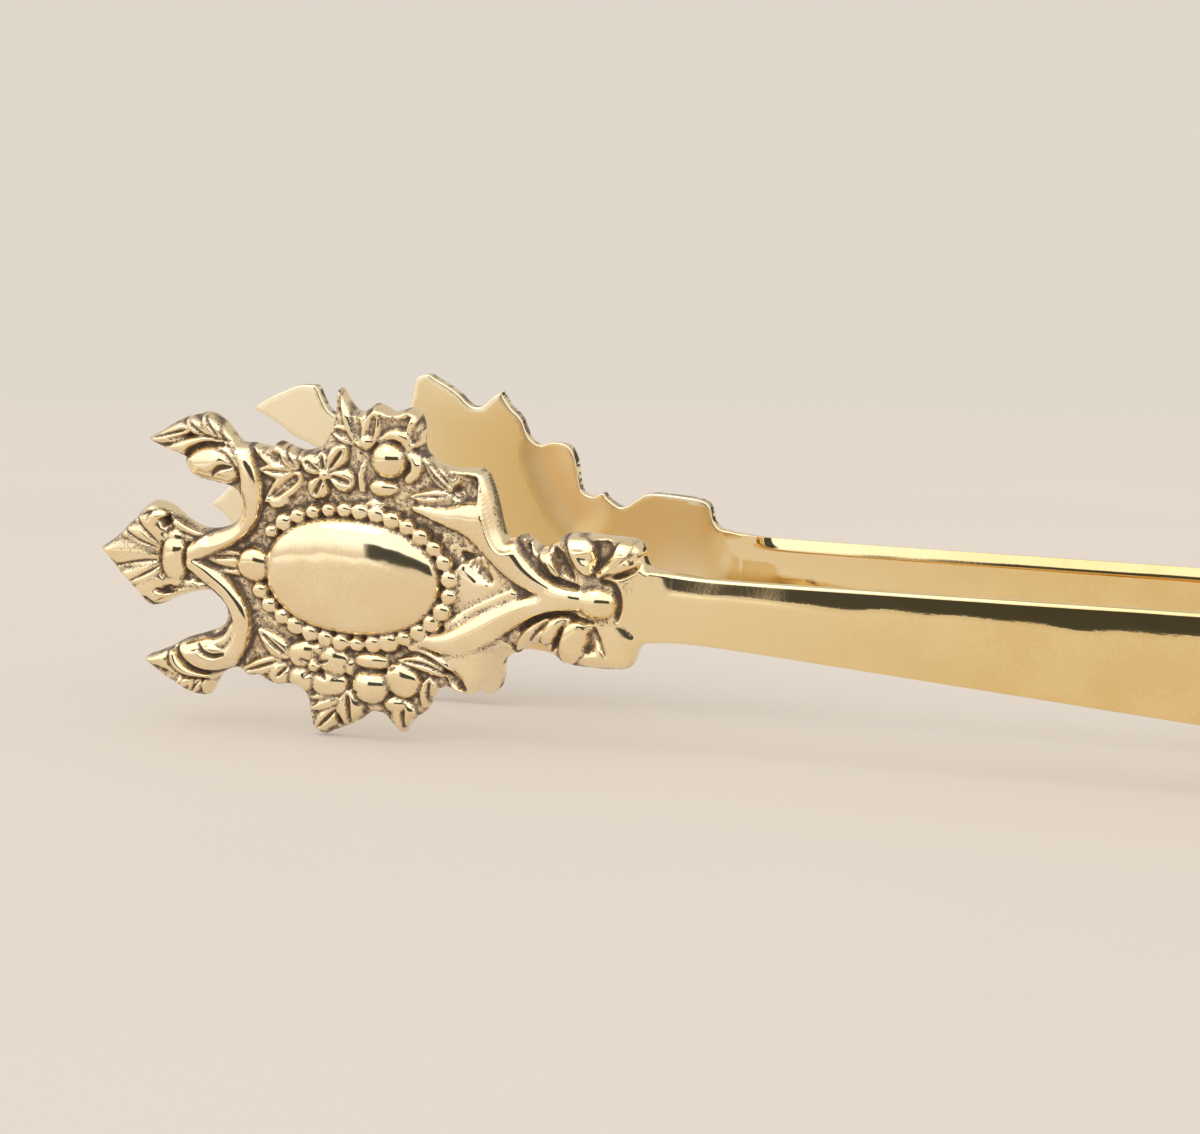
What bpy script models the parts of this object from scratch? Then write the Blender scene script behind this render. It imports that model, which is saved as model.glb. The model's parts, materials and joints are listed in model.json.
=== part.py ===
"""Serving tongs: two cast ornamental heads on hollow-formed arms, joined by a riveted spring bow.

Lengths are in metres. Each side is modelled in its own blade frame: X runs from the claw tip back to the
bow, Z runs across the blade, -Y points outwards and the flat grip face lies at Y = 0. The back side is the
front side turned half a turn about the long axis, so both sides are the same castings.
"""
import math

import bmesh
import bpy
from mathutils import Matrix, Vector

MM = 0.001

# Clearance that pieces keep where they meet, and how close points of one casting are welded
FIT_GAP = 0.3 * MM
WELD = 0.02 * MM

# Head plate and neck
PLATE_THICKNESS = 2.0 * MM
NECK_THICKNESS = 3.1 * MM
HEAD_LENGTH = 73.0 * MM
NECK_LENGTH = 13.5 * MM
NECK_START = HEAD_LENGTH - NECK_LENGTH
NECK_START_HALF_WIDTH = 5.8 * MM
NECK_HALF_WIDTH = 7.8 * MM
NECK_CORNER = 2.0 * MM
NECK_FILLET = 3.7 * MM
NECK_SHOULDER = HEAD_LENGTH - NECK_FILLET
NECK_SHOULDER_STEP = 1.0 * MM
TANG_LENGTH = 12.0 * MM
TANG_HALF_WIDTH = 1.8 * MM
TANG_THICKNESS = 0.9 * MM

# Medallion and its bead ring
MEDALLION_X = 34.0 * MM
MEDALLION_LENGTH = 21.8 * MM
MEDALLION_HEIGHT = 14.1 * MM
MEDALLION_CREST = 4.8 * MM
BEAD_COUNT = 34
BEAD_RADIUS = 0.95 * MM
BEAD_RING_MARGIN = 1.25 * MM
LARGE_BEAD_RADIUS = 1.7 * MM

# Relief heights over the grip face
LEAF_CREST = 2.9 * MM
LEAF_BASE_BIAS = 0.85
LEAF_FULLNESS = 0.9
FLOWER_CREST = 3.9 * MM
PETAL_CREST = 3.4 * MM
BERRY_RADIUS = 2.1 * MM
KNOB_LENGTH = 4.8 * MM
KNOB_WIDTH = 3.7 * MM
KNOB_CREST = 5.4 * MM

# Arms
ARM_NECK_HALF_WIDTH = 3.75 * MM
ARM_BOW_HALF_WIDTH = 10.2 * MM
ARM_LENGTH = 152.0 * MM
ARM_THICKNESS = 1.5 * MM
ARM_CROWN = 1.9 * MM
ARM_FLAT_LENGTH = 34.0 * MM
ARM_END_ROUND = 7.0 * MM
ARM_END_CUT = 0.7

# Spring bow and rivets
BOW_RADIUS = 9.4 * MM
BOW_THICKNESS = 1.2 * MM
BOW_EDGE_MARGIN = 0.7 * MM
BOW_LEG_MARGIN = 6.0 * MM
TIP_HALF_GAP = 14.0 * MM
FLEX_ANGLE = math.radians(45)
RIVET_SHANK_RADIUS = 1.5 * MM
RIVET_HEAD_RADIUS = 2.7 * MM
RIVET_HEAD_HEIGHT = 1.3 * MM
RIVET_TAIL_RADIUS = 2.2 * MM
RIVET_TAIL_HEIGHT = 0.7 * MM
RIVET_TAIL_FACE_RADIUS = 1.5 * MM
RIVET_FROM_BEND = 14.0 * MM
RIVET_SPACING = 12.0 * MM

# How finely round forms are divided
BEAD_SEGMENTS = 6
DOME_SEGMENTS = 8
KNOB_SEGMENTS = 10
MEDALLION_SEGMENTS = 14
RIVET_SEGMENTS = 16
RIVET_DOME_STEPS = 3
SHOULDER_STEPS = 4
BEND_STEPS = 20
ARM_STEPS_ALONG = 30
ARM_STEPS_ACROSS = 6
ARM_STEP_BIAS = 1.7
SMOOTH_ANGLE = math.radians(40)

# Half outline of the head plate, x and z in millimetres: x from the claw tip, then x back from the neck end
PLATE_OUTLINE = (
    (12.5, 1.4), (16.0, 3.0), (18.8, 5.4), (19.4, 9.0), (19.6, 13.0), (24.0, 13.3), (28.5, 14.2),
    (32.0, 16.4), (41.0, 16.4), (43.2, 13.6),
)
PLATE_REAR_OUTLINE = ((23.4, 12.6), (21.8, 10.2), (20.4, 7.0), (18.4, 5.6), (14.6, 5.2))

# Leaves of each flower spray: base x, z, tip x, z and width, in millimetres
UPPER_LEAVES = (
    (19.0, 15.4, 6.2, 13.9, 5.8), (26.0, 12.2, 20.4, 14.6, 2.8), (27.0, 12.2, 24.6, 15.7, 2.6),
    (27.0, 12.0, 21.9, 8.3, 2.6), (34.2, 15.5, 32.0, 22.6, 3.8), (34.6, 16.0, 30.2, 17.6, 2.4),
    (35.6, 14.5, 36.9, 21.4, 4.2), (38.6, 15.5, 40.2, 20.9, 3.0), (40.2, 14.5, 42.6, 21.0, 3.8),
    (47.0, 11.2, 42.6, 15.6, 3.0), (46.5, 11.0, 40.6, 10.1, 2.6),
)
LOWER_LEAVES = (
    (17.6, -14.4, 5.8, -13.2, 5.8), (25.8, -11.2, 22.0, -7.9, 2.6), (25.0, -11.4, 19.0, -13.6, 2.8),
    (26.6, -11.8, 23.0, -15.0, 2.8), (33.6, -13.4, 30.2, -20.4, 5.4), (33.8, -14.0, 33.8, -19.2, 4.0),
    (40.0, -12.6, 40.9, -18.9, 4.0), (42.2, -11.8, 44.8, -15.6, 3.2), (46.5, -9.6, 40.8, -10.3, 2.6),
)

# Flower centres and berry centres of the sprays, x and z in millimetres, and the flowers' size
FLOWERS = ((30.3, 12.3), (29.3, -11.6))
BERRIES = ((38.1, 14.5), (36.9, -13.0), (40.4, -12.2))
PETAL_COUNT = 5
PETAL_PHASE = 0.2
PETAL_RADIUS = 1.7 * MM
PETAL_RING_RADIUS = 2.3 * MM
FLOWER_EYE_RADIUS = 1.2 * MM

# Centre claw: half outline and the tips of its flutes, x and z in millimetres, all rising from the collar
SHELL_OUTLINE = ((0.4, 0.3), (3.0, 2.0), (7.2, 5.8), (9.6, 5.8), (12.8, 2.2))
SHELL_COLLAR_X = 11.6 * MM
SHELL_TIPS = ((-0.4, 0.0), (2.5, 1.9), (2.5, -1.9), (4.9, 4.2), (4.9, -4.2), (7.6, 6.4), (7.6, -6.4))
SHELL_FLUTE_WIDTH = 3.0 * MM

# Scrolls of the upper half, mirrored below: x, z and tube radius, in millimetres
SCROLL_PATH = (
    (11.0, 0.6, 1.6), (15.3, 1.8, 1.9), (18.0, 3.7, 1.8), (19.5, 5.8, 1.6), (20.0, 8.2, 1.5),
    (19.5, 10.6, 1.6), (18.0, 12.5, 1.7), (15.6, 13.0, 1.7),
)
SCROLL_BULB = (14.4, 11.8)
SCROLL_BULB_RADIUS = 2.4 * MM

# Horns of the upper half, mirrored below: x back from the neck end, z and tube radius, in millimetres
HORN_PATH = (
    (11.0, 0.6, 1.2), (14.5, 1.2, 1.2), (18.0, 3.1, 1.4), (20.8, 6.0, 1.8), (23.0, 8.9, 2.3),
    (25.4, 10.8, 2.8),
)
HORN_MOUTH = (26.3, 11.2)
HORN_MOUTH_LENGTH = 8.2 * MM
HORN_MOUTH_WIDTH = 6.0 * MM
TUBE_FLATTEN = 0.85

# Tips of the neck shell's upper lobes, mirrored below: x back from the neck end and z, in millimetres
NECK_LOBES = ((17.4, 7.3), (12.0, 7.9), (8.0, 8.3), (4.1, 7.9))
NECK_LOBE_WIDTH = 3.2 * MM

BRASS = (0.78, 0.57, 0.28)
SPRING_BRASS = (0.74, 0.55, 0.27)
RIVET_BRASS = (0.72, 0.50, 0.24)
CAST_ROUGHNESS = 0.24
FORMED_ROUGHNESS = 0.16
SPRING_ROUGHNESS = 0.22
RIVET_ROUGHNESS = 0.28

QUARTER_TURN = math.radians(90)
HALF_TURN = math.radians(180)

# The face of the hull that the tongs rest on points down at least this squarely
RESTING_SQUARENESS = 0.9


def clear_scene():
    """Removes the objects that the scene starts with."""
    for scene_object in list(bpy.data.objects):
        bpy.data.objects.remove(scene_object, do_unlink=True)


def make_collection(name):
    """Returns a new collection linked to the scene."""
    collection = bpy.data.collections.new(name)
    bpy.context.scene.collection.children.link(collection)
    return collection


def make_material(name, colour, roughness):
    """Returns a metal finish of that colour."""
    material = bpy.data.materials.new(name)
    material.use_nodes = True
    shader = material.node_tree.nodes["Principled BSDF"]
    shader.inputs["Base Color"].default_value = (*colour, 1.0)
    shader.inputs["Roughness"].default_value = roughness
    shader.inputs["Metallic"].default_value = 1.0
    return material


def add_object(name, data, collection):
    """Links a new object for the data."""
    new_object = bpy.data.objects.new(name, data)
    collection.objects.link(new_object)
    return new_object


def bake(source):
    """Returns the evaluated mesh of an object, welded and in triangles, and removes the object."""
    bpy.context.view_layer.update()
    graph = bpy.context.evaluated_depsgraph_get()
    mesh = bpy.data.meshes.new_from_object(source.evaluated_get(graph))
    mesh.transform(source.matrix_world)
    bpy.data.objects.remove(source, do_unlink=True)
    edit = bmesh.new()
    edit.from_mesh(mesh)
    bmesh.ops.remove_doubles(edit, verts=edit.verts, dist=WELD)
    bmesh.ops.dissolve_degenerate(edit, edges=edit.edges, dist=WELD)
    bmesh.ops.triangulate(edit, faces=edit.faces)
    edit.to_mesh(mesh)
    edit.free()
    return mesh


def add_boolean(target, operation, collection):
    """Adds an exact Boolean of the target with every object in the collection."""
    modifier = target.modifiers.new(operation.title(), "BOOLEAN")
    modifier.operation = operation
    modifier.operand_type = "COLLECTION"
    modifier.collection = collection


def empty_collection(collection):
    """Removes a work collection and its objects."""
    for scene_object in list(collection.objects):
        bpy.data.objects.remove(scene_object, do_unlink=True)
    bpy.data.collections.remove(collection)


def flat_plate(name, outline, thickness, collection):
    """Returns a plate with a closed outline of (x, z) points, from the grip face outwards."""
    curve = bpy.data.curves.new(name, "CURVE")
    curve.dimensions = "2D"
    curve.fill_mode = "BOTH"
    curve.extrude = thickness / 2
    spline = curve.splines.new("POLY")
    spline.points.add(len(outline) - 1)
    for point, (x, z) in zip(spline.points, outline):
        point.co = (x, z, 0, 1)
    spline.use_cyclic_u = True
    drawn = add_object(name, curve, collection)
    drawn.matrix_world = Matrix.Translation((0, -thickness / 2, 0)) @ Matrix.Rotation(QUARTER_TURN, 4, "X")
    return add_object(name, bake(drawn), collection)


def tube(name, path, collection):
    """Returns a tapered tube, flattened outwards, along (x, z, radius) points."""
    widest = max(radius for _, _, radius in path)
    curve = bpy.data.curves.new(name, "CURVE")
    curve.dimensions = "3D"
    curve.bevel_depth = MM
    curve.bevel_resolution = 1
    curve.use_fill_caps = True
    spline = curve.splines.new("POLY")
    spline.points.add(len(path) - 1)
    for point, (x, z, radius) in zip(spline.points, path):
        point.co = (x, 0, z, 1)
        point.radius = radius / curve.bevel_depth
    drawn = add_object(name, curve, collection)
    centre = -widest * TUBE_FLATTEN - FIT_GAP
    drawn.matrix_world = Matrix.Translation((0, centre, 0)) @ Matrix.Scale(TUBE_FLATTEN, 4, (0, 1, 0))
    return add_object(name, bake(drawn), collection)


def dome(name, centre, half_length, half_width, crest, collection, segments=DOME_SEGMENTS):
    """Returns the outer half of an ellipsoid that stands on the middle of the plate."""
    foot = PLATE_THICKNESS / 2
    edit = bmesh.new()
    bmesh.ops.create_uvsphere(edit, u_segments=segments, v_segments=segments - 2, radius=1.0)
    everything = edit.verts[:] + edit.edges[:] + edit.faces[:]
    bmesh.ops.bisect_plane(edit, geom=everything, plane_co=(0, 0, 0), plane_no=(0, 0, -1), clear_outer=True)
    bmesh.ops.holes_fill(edit, edges=[edge for edge in edit.edges if edge.is_boundary])
    shape = Matrix.Diagonal((half_length, half_width, crest - foot, 1.0))
    stand = Matrix.Rotation(QUARTER_TURN, 4, "X")
    place = Matrix.Translation((centre[0], -foot, centre[1]))
    bmesh.ops.transform(edit, matrix=place @ stand @ shape, verts=edit.verts)
    mesh = bpy.data.meshes.new(name)
    edit.to_mesh(mesh)
    edit.free()
    return add_object(name, mesh, collection)


def leaf(name, base, tip, width, crest, collection):
    """Returns a pointed leaf body from its base to its tip, clear of the grip face."""
    run = Vector((tip[0] - base[0], 0, tip[1] - base[1]))
    edit = bmesh.new()
    bmesh.ops.create_uvsphere(edit, u_segments=BEAD_SEGMENTS, v_segments=BEAD_SEGMENTS, radius=1.0)
    for vertex in edit.verts:
        share = (vertex.co.z + 1) / 2
        ball = math.hypot(vertex.co.x, vertex.co.y)
        if ball > 0:
            swell = math.sin(math.pi * share ** LEAF_BASE_BIAS) ** LEAF_FULLNESS
            vertex.co.x *= swell / ball
            vertex.co.y *= swell / ball
    depth = crest - FIT_GAP
    shape = Matrix.Diagonal((width / 2, depth / 2, run.length / 2, 1.0))
    across = run.normalized().cross(Vector((0, 1, 0)))
    frame = Matrix((across, (0, 1, 0), run.normalized())).transposed().to_4x4()
    middle = Vector((base[0], -FIT_GAP - depth / 2, base[1])) + run / 2
    bmesh.ops.transform(edit, matrix=Matrix.Translation(middle) @ frame @ shape, verts=edit.verts)
    bmesh.ops.recalc_face_normals(edit, faces=edit.faces)
    mesh = bpy.data.meshes.new(name)
    edit.to_mesh(mesh)
    edit.free()
    return add_object(name, mesh, collection)


def box(name, low, high, collection):
    """Returns a box between two corners."""
    edit = bmesh.new()
    size = Vector(high) - Vector(low)
    place = Matrix.Translation((Vector(low) + Vector(high)) / 2) @ Matrix.Diagonal((*size, 1.0))
    bmesh.ops.create_cube(edit, size=1.0, matrix=place)
    mesh = bpy.data.meshes.new(name)
    edit.to_mesh(mesh)
    edit.free()
    return add_object(name, mesh, collection)


def mirrored(outline):
    """Returns a closed outline from its upper half, mirrored across the blade's centre line."""
    return list(outline) + [(x, -z) for x, z in reversed(outline)]


def add_medallion(ornament):
    """Adds the plain oval, its bead ring and the large bead before it."""
    half_length = MEDALLION_LENGTH / 2
    half_height = MEDALLION_HEIGHT / 2
    middle = (MEDALLION_X, 0)
    dome("medallion", middle, half_length, half_height, MEDALLION_CREST, ornament, MEDALLION_SEGMENTS)
    ring_length = half_length + BEAD_RING_MARGIN
    ring_height = half_height + BEAD_RING_MARGIN
    bead_crest = PLATE_THICKNESS + BEAD_RADIUS
    for index in range(BEAD_COUNT):
        angle = 2 * math.pi * (index + 0.5) / BEAD_COUNT
        place = (MEDALLION_X + ring_length * math.cos(angle), ring_height * math.sin(angle))
        dome(f"bead_{index}", place, BEAD_RADIUS, BEAD_RADIUS, bead_crest, ornament, BEAD_SEGMENTS)
    front = (MEDALLION_X - ring_length - BEAD_RADIUS, 0)
    large_crest = PLATE_THICKNESS + LARGE_BEAD_RADIUS
    dome("large_bead", front, LARGE_BEAD_RADIUS, LARGE_BEAD_RADIUS, large_crest, ornament)


def add_sprays(ornament):
    """Adds the flowers, berries and leaves above and below the medallion."""
    for index, (base_x, base_z, tip_x, tip_z, width) in enumerate(UPPER_LEAVES + LOWER_LEAVES):
        base = (base_x * MM, base_z * MM)
        tip = (tip_x * MM, tip_z * MM)
        leaf(f"spray_leaf_{index}", base, tip, width * MM, LEAF_CREST, ornament)
    for flower, (x, z) in enumerate(FLOWERS):
        centre = Vector((x * MM, z * MM))
        eye = (FLOWER_EYE_RADIUS, FLOWER_EYE_RADIUS, FLOWER_CREST)
        dome(f"flower_eye_{flower}", centre, *eye, ornament, BEAD_SEGMENTS)
        for petal in range(PETAL_COUNT):
            angle = 2 * math.pi * (petal + PETAL_PHASE) / PETAL_COUNT
            place = centre + PETAL_RING_RADIUS * Vector((math.cos(angle), math.sin(angle)))
            size = (PETAL_RADIUS, PETAL_RADIUS, PETAL_CREST)
            dome(f"petal_{flower}_{petal}", place, *size, ornament, BEAD_SEGMENTS)
    for index, (x, z) in enumerate(BERRIES):
        crest = PLATE_THICKNESS + BERRY_RADIUS
        dome(f"berry_{index}", (x * MM, z * MM), BERRY_RADIUS, BERRY_RADIUS, crest, ornament)


def add_claws(ornament):
    """Adds the fluted centre claw and the two scrolls that carry the outer claws."""
    shell = [(x * MM, z * MM) for x, z in SHELL_OUTLINE]
    flat_plate("shell", mirrored(shell), PLATE_THICKNESS - FIT_GAP / 2, ornament)
    for index, (x, z) in enumerate(SHELL_TIPS):
        root = (SHELL_COLLAR_X, z * MM / 4)
        leaf(f"flute_{index}", root, (x * MM, z * MM), SHELL_FLUTE_WIDTH, LEAF_CREST, ornament)
    dome("collar", (SHELL_COLLAR_X, 0), SHELL_FLUTE_WIDTH / 2, SHELL_FLUTE_WIDTH, FLOWER_CREST, ornament)
    for side in (1, -1):
        path = [(x * MM, side * z * MM, radius * MM) for x, z, radius in SCROLL_PATH]
        tube(f"scroll_{side}", path, ornament)
        bulb = (SCROLL_BULB[0] * MM, side * SCROLL_BULB[1] * MM)
        dome(f"bulb_{side}", bulb, SCROLL_BULB_RADIUS, SCROLL_BULB_RADIUS, FLOWER_CREST, ornament)


def add_neck(ornament):
    """Adds the horns, the neck shell with its knob, the shouldered neck block and the tang."""
    for side in (1, -1):
        path = [(HEAD_LENGTH - back * MM, side * z * MM, radius * MM) for back, z, radius in HORN_PATH]
        tube(f"horn_{side}", path, ornament)
        mouth = (HEAD_LENGTH - HORN_MOUTH[0] * MM, side * HORN_MOUTH[1] * MM)
        size = (HORN_MOUTH_LENGTH / 2, HORN_MOUTH_WIDTH / 2, FLOWER_CREST)
        dome(f"horn_mouth_{side}", mouth, *size, ornament)
        for index, (back, z) in enumerate(NECK_LOBES):
            tip = (HEAD_LENGTH - back * MM, side * z * MM)
            root = (tip[0] + (NECK_START - tip[0]) / 3, tip[1] / 4)
            leaf(f"lobe_{side}_{index}", root, tip, NECK_LOBE_WIDTH, FLOWER_CREST, ornament)
    knob_x = NECK_START + KNOB_LENGTH
    dome("knob", (knob_x, 0), KNOB_LENGTH / 2, KNOB_WIDTH / 2, KNOB_CREST, ornament, KNOB_SEGMENTS)
    block = [(NECK_START, NECK_START_HALF_WIDTH), (NECK_START + NECK_CORNER, NECK_HALF_WIDTH)]
    block.append((NECK_SHOULDER - NECK_SHOULDER_STEP, NECK_HALF_WIDTH))
    drop = NECK_HALF_WIDTH - NECK_SHOULDER_STEP - ARM_NECK_HALF_WIDTH
    for step in range(SHOULDER_STEPS + 1):
        turn = QUARTER_TURN * step / SHOULDER_STEPS
        x = HEAD_LENGTH - (HEAD_LENGTH - NECK_SHOULDER) * math.cos(turn)
        block.append((x, ARM_NECK_HALF_WIDTH + drop * (1 - math.sin(turn))))
    flat_plate("neck_block", mirrored(block), NECK_THICKNESS, ornament)
    tang_low = (NECK_SHOULDER, -FIT_GAP - TANG_THICKNESS, -TANG_HALF_WIDTH)
    tang_high = (HEAD_LENGTH + TANG_LENGTH, -FIT_GAP, TANG_HALF_WIDTH)
    box("tang", tang_low, tang_high, ornament)


def head_mesh():
    """Returns the cast head: a flat-backed plate with its relief, neck and tang as one body."""
    ornament = make_collection("head_ornament")
    add_medallion(ornament)
    add_sprays(ornament)
    add_claws(ornament)
    add_neck(ornament)
    core = [(x * MM, z * MM) for x, z in PLATE_OUTLINE]
    core += [(HEAD_LENGTH - back * MM, z * MM) for back, z in PLATE_REAR_OUTLINE]
    core.append((NECK_START + NECK_CORNER, NECK_START_HALF_WIDTH))
    plate = flat_plate("head_plate", mirrored(core), PLATE_THICKNESS, bpy.context.scene.collection)
    add_boolean(plate, "UNION", ornament)
    mesh = bake(plate)
    empty_collection(ornament)
    return mesh


def arm_half_width(along):
    """Returns the arm's half width at a distance from its neck end, rounded off at its bow end."""
    share = along / ARM_LENGTH
    half = ARM_NECK_HALF_WIDTH + (ARM_BOW_HALF_WIDTH - ARM_NECK_HALF_WIDTH) * share
    into_end = along - (ARM_LENGTH - ARM_END_ROUND)
    if into_end > 0:
        half *= math.sqrt(1 - ARM_END_CUT * (into_end / ARM_END_ROUND) ** 2)
    return half


def arm_crown(along):
    """Returns how far the arm's section bows outwards, fading to flat where the bow is riveted on."""
    crowned = ARM_LENGTH - ARM_FLAT_LENGTH
    return ARM_CROWN * math.sqrt(max(crowned - along, 0.0) / crowned)


def arm_mesh():
    """Returns the hollow-formed arm: a crowned, widening strip with its rivet holes."""
    edit = bmesh.new()
    bmesh.ops.create_grid(edit, x_segments=ARM_STEPS_ALONG, y_segments=ARM_STEPS_ACROSS, size=0.5)
    start = HEAD_LENGTH + FIT_GAP
    for vertex in edit.verts:
        along = (1 - (0.5 - vertex.co.x) ** ARM_STEP_BIAS) * ARM_LENGTH
        across = 2 * vertex.co.y
        bow_out = arm_crown(along) * (1 - across ** 2)
        vertex.co = (start + along, -bow_out, across * arm_half_width(along))
    mesh = bpy.data.meshes.new("arm_strip")
    edit.to_mesh(mesh)
    edit.free()
    strip = add_object("arm_strip", mesh, bpy.context.scene.collection)
    thicken = strip.modifiers.new("Thickness", "SOLIDIFY")
    thicken.thickness = ARM_THICKNESS
    thicken.offset = 1.0
    holes = make_collection("arm_holes")
    for x in rivet_places():
        rivet_hole(f"hole_{x:.4f}", x, -2 * ARM_THICKNESS, ARM_THICKNESS, holes)
    add_boolean(strip, "DIFFERENCE", holes)
    result = bake(strip)
    empty_collection(holes)
    return result


def bend_x():
    """Returns where the bow's bend is centred, along the blade."""
    return HEAD_LENGTH + FIT_GAP + ARM_LENGTH + ARM_END_ROUND / 2


def rivet_places():
    """Returns the rivets' places along the blade."""
    last = bend_x() - RIVET_FROM_BEND
    return [last, last - RIVET_SPACING]


def rivet_hole(name, x, low_y, high_y, collection):
    """Returns a cutter for a rivet hole through a strip."""
    edit = bmesh.new()
    place = Matrix.Translation((x, (low_y + high_y) / 2, 0)) @ Matrix.Rotation(QUARTER_TURN, 4, "X")
    radius = RIVET_SHANK_RADIUS + FIT_GAP
    bmesh.ops.create_cone(
        edit, cap_ends=True, segments=RIVET_SEGMENTS, radius1=radius, radius2=radius, depth=high_y - low_y,
        matrix=place)
    mesh = bpy.data.meshes.new(name)
    edit.to_mesh(mesh)
    edit.free()
    return add_object(name, mesh, collection)


def spread_angle():
    """Returns how far each blade leans out from the centre line towards its claws."""
    return math.atan2(TIP_HALF_GAP - BOW_RADIUS - FIT_GAP, bend_x())


def blade_matrix():
    """Returns the front blade frame, as placed about the centre of the bow's bend."""
    turn = Matrix.Rotation(spread_angle(), 4, "Z")
    return turn @ Matrix.Translation((-bend_x(), -BOW_RADIUS - FIT_GAP, 0))


def bow_mesh():
    """Returns the spring bow: a strip bent in a U, its legs along the blades, with its rivet holes."""
    spread = spread_angle()
    quarter = QUARTER_TURN - spread
    leg = RIVET_FROM_BEND + RIVET_SPACING + BOW_LEG_MARGIN
    edges = []
    for radius in (BOW_RADIUS, BOW_RADIUS - BOW_THICKNESS):
        bend = [quarter * (2 * step / BEND_STEPS - 1) for step in range(BEND_STEPS + 1)]
        arc = [Vector((radius * math.cos(angle), radius * math.sin(angle))) for angle in bend]
        lead = Vector((-math.cos(spread) * leg, -math.sin(spread) * leg))
        trail = Vector((lead.x, -lead.y))
        edges.append([arc[0] + lead] + arc + [arc[-1] + trail])
    outline = edges[0] + edges[1][::-1]
    curve = bpy.data.curves.new("bow_strip", "CURVE")
    curve.dimensions = "2D"
    curve.fill_mode = "BOTH"
    curve.extrude = ARM_BOW_HALF_WIDTH - BOW_EDGE_MARGIN
    spline = curve.splines.new("POLY")
    spline.points.add(len(outline) - 1)
    for point, place in zip(spline.points, outline):
        point.co = (place.x, place.y, 0, 1)
    spline.use_cyclic_u = True
    drawn = add_object("bow_strip", curve, bpy.context.scene.collection)
    strip = add_object("bow_strip", bake(drawn), bpy.context.scene.collection)
    holes = make_collection("bow_holes")
    for side in (Matrix.Identity(4), Matrix.Rotation(HALF_TURN, 4, "X")):
        for x in rivet_places():
            cutter = rivet_hole(f"hole_{x:.4f}", x, 0.0, FIT_GAP + 2 * BOW_THICKNESS, holes)
            cutter.matrix_world = side @ blade_matrix()
    add_boolean(strip, "DIFFERENCE", holes)
    result = bake(strip)
    empty_collection(holes)
    return result


def rivet_mesh():
    """Returns a turned rivet on Z: domed head outside the arm, shank, and upset tail inside the bow."""
    under_head = ARM_THICKNESS + FIT_GAP
    over_tail = -2 * FIT_GAP - BOW_THICKNESS
    tail_face = over_tail - RIVET_TAIL_HEIGHT
    profile = [(0.0, under_head + RIVET_HEAD_HEIGHT)]
    for step in range(1, RIVET_DOME_STEPS + 1):
        turn = QUARTER_TURN * step / RIVET_DOME_STEPS
        profile.append((RIVET_HEAD_RADIUS * math.sin(turn), under_head + RIVET_HEAD_HEIGHT * math.cos(turn)))
    profile += [(RIVET_SHANK_RADIUS, under_head), (RIVET_SHANK_RADIUS, over_tail)]
    profile += [(RIVET_TAIL_RADIUS, over_tail), (RIVET_TAIL_FACE_RADIUS, tail_face), (0.0, tail_face)]
    mesh = bpy.data.meshes.new("rivet_profile")
    points = [(radius, 0, height) for radius, height in profile]
    lines = [(index, index + 1) for index in range(len(profile) - 1)]
    mesh.from_pydata(points, lines, [])
    turned = add_object("rivet_profile", mesh, bpy.context.scene.collection)
    screw = turned.modifiers.new("Turn", "SCREW")
    screw.steps = RIVET_SEGMENTS
    screw.render_steps = RIVET_SEGMENTS
    screw.use_merge_vertices = True
    screw.merge_threshold = WELD
    return bake(turned)


def part(name, mesh, material, parent, place, collection):
    """Adds a finished piece under its parent, at a place in the parent's frame."""
    piece = add_object(name, mesh.copy(), collection)
    piece.data.name = name
    piece.data.materials.clear()
    piece.data.materials.append(material)
    piece.data.shade_smooth()
    piece.data.set_sharp_from_angle(angle=SMOOTH_ANGLE)
    piece.parent = parent
    piece.matrix_local = place
    return piece


def add_empty(name, parent, place, collection):
    """Adds an empty under its parent, at a place in the parent's frame."""
    empty = add_object(name, None, collection)
    empty.parent = parent
    empty.matrix_local = place
    return empty


def lay_down(assembly, pieces):
    """Turns the assembly onto its three resting points, with its box's bottom centre at the origin."""
    bpy.context.view_layer.update()
    points = [piece.matrix_world @ vertex.co for piece in pieces for vertex in piece.data.vertices]
    hull = bmesh.new()
    for point in points:
        hull.verts.new(point)
    bmesh.ops.convex_hull(hull, input=hull.verts)
    weight = centre_of_volume(pieces)
    down = Vector((0, 0, -1))
    for face in hull.faces:
        if face.normal.dot(down) < RESTING_SQUARENESS:
            continue
        foot = weight + face.normal * (face.verts[0].co - weight).dot(face.normal)
        if inside_triangle(foot, face):
            assembly.matrix_world = face.normal.rotation_difference(down).to_matrix().to_4x4()
    hull.free()
    bpy.context.view_layer.update()
    points = [piece.matrix_world @ vertex.co for piece in pieces for vertex in piece.data.vertices]
    low = Vector([min(point[axis] for point in points) for axis in range(3)])
    high = Vector([max(point[axis] for point in points) for axis in range(3)])
    assembly.location = -Vector(((low.x + high.x) / 2, (low.y + high.y) / 2, low.z))
    bpy.context.view_layer.update()


def inside_triangle(point, face):
    """Tells whether a point in a triangle's plane lies within it."""
    corners = [vertex.co for vertex in face.verts]
    turns = []
    for index, corner in enumerate(corners):
        along = corners[(index + 1) % 3] - corner
        turns.append(along.cross(point - corner).dot(face.normal) >= 0)
    return all(turns)


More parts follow.
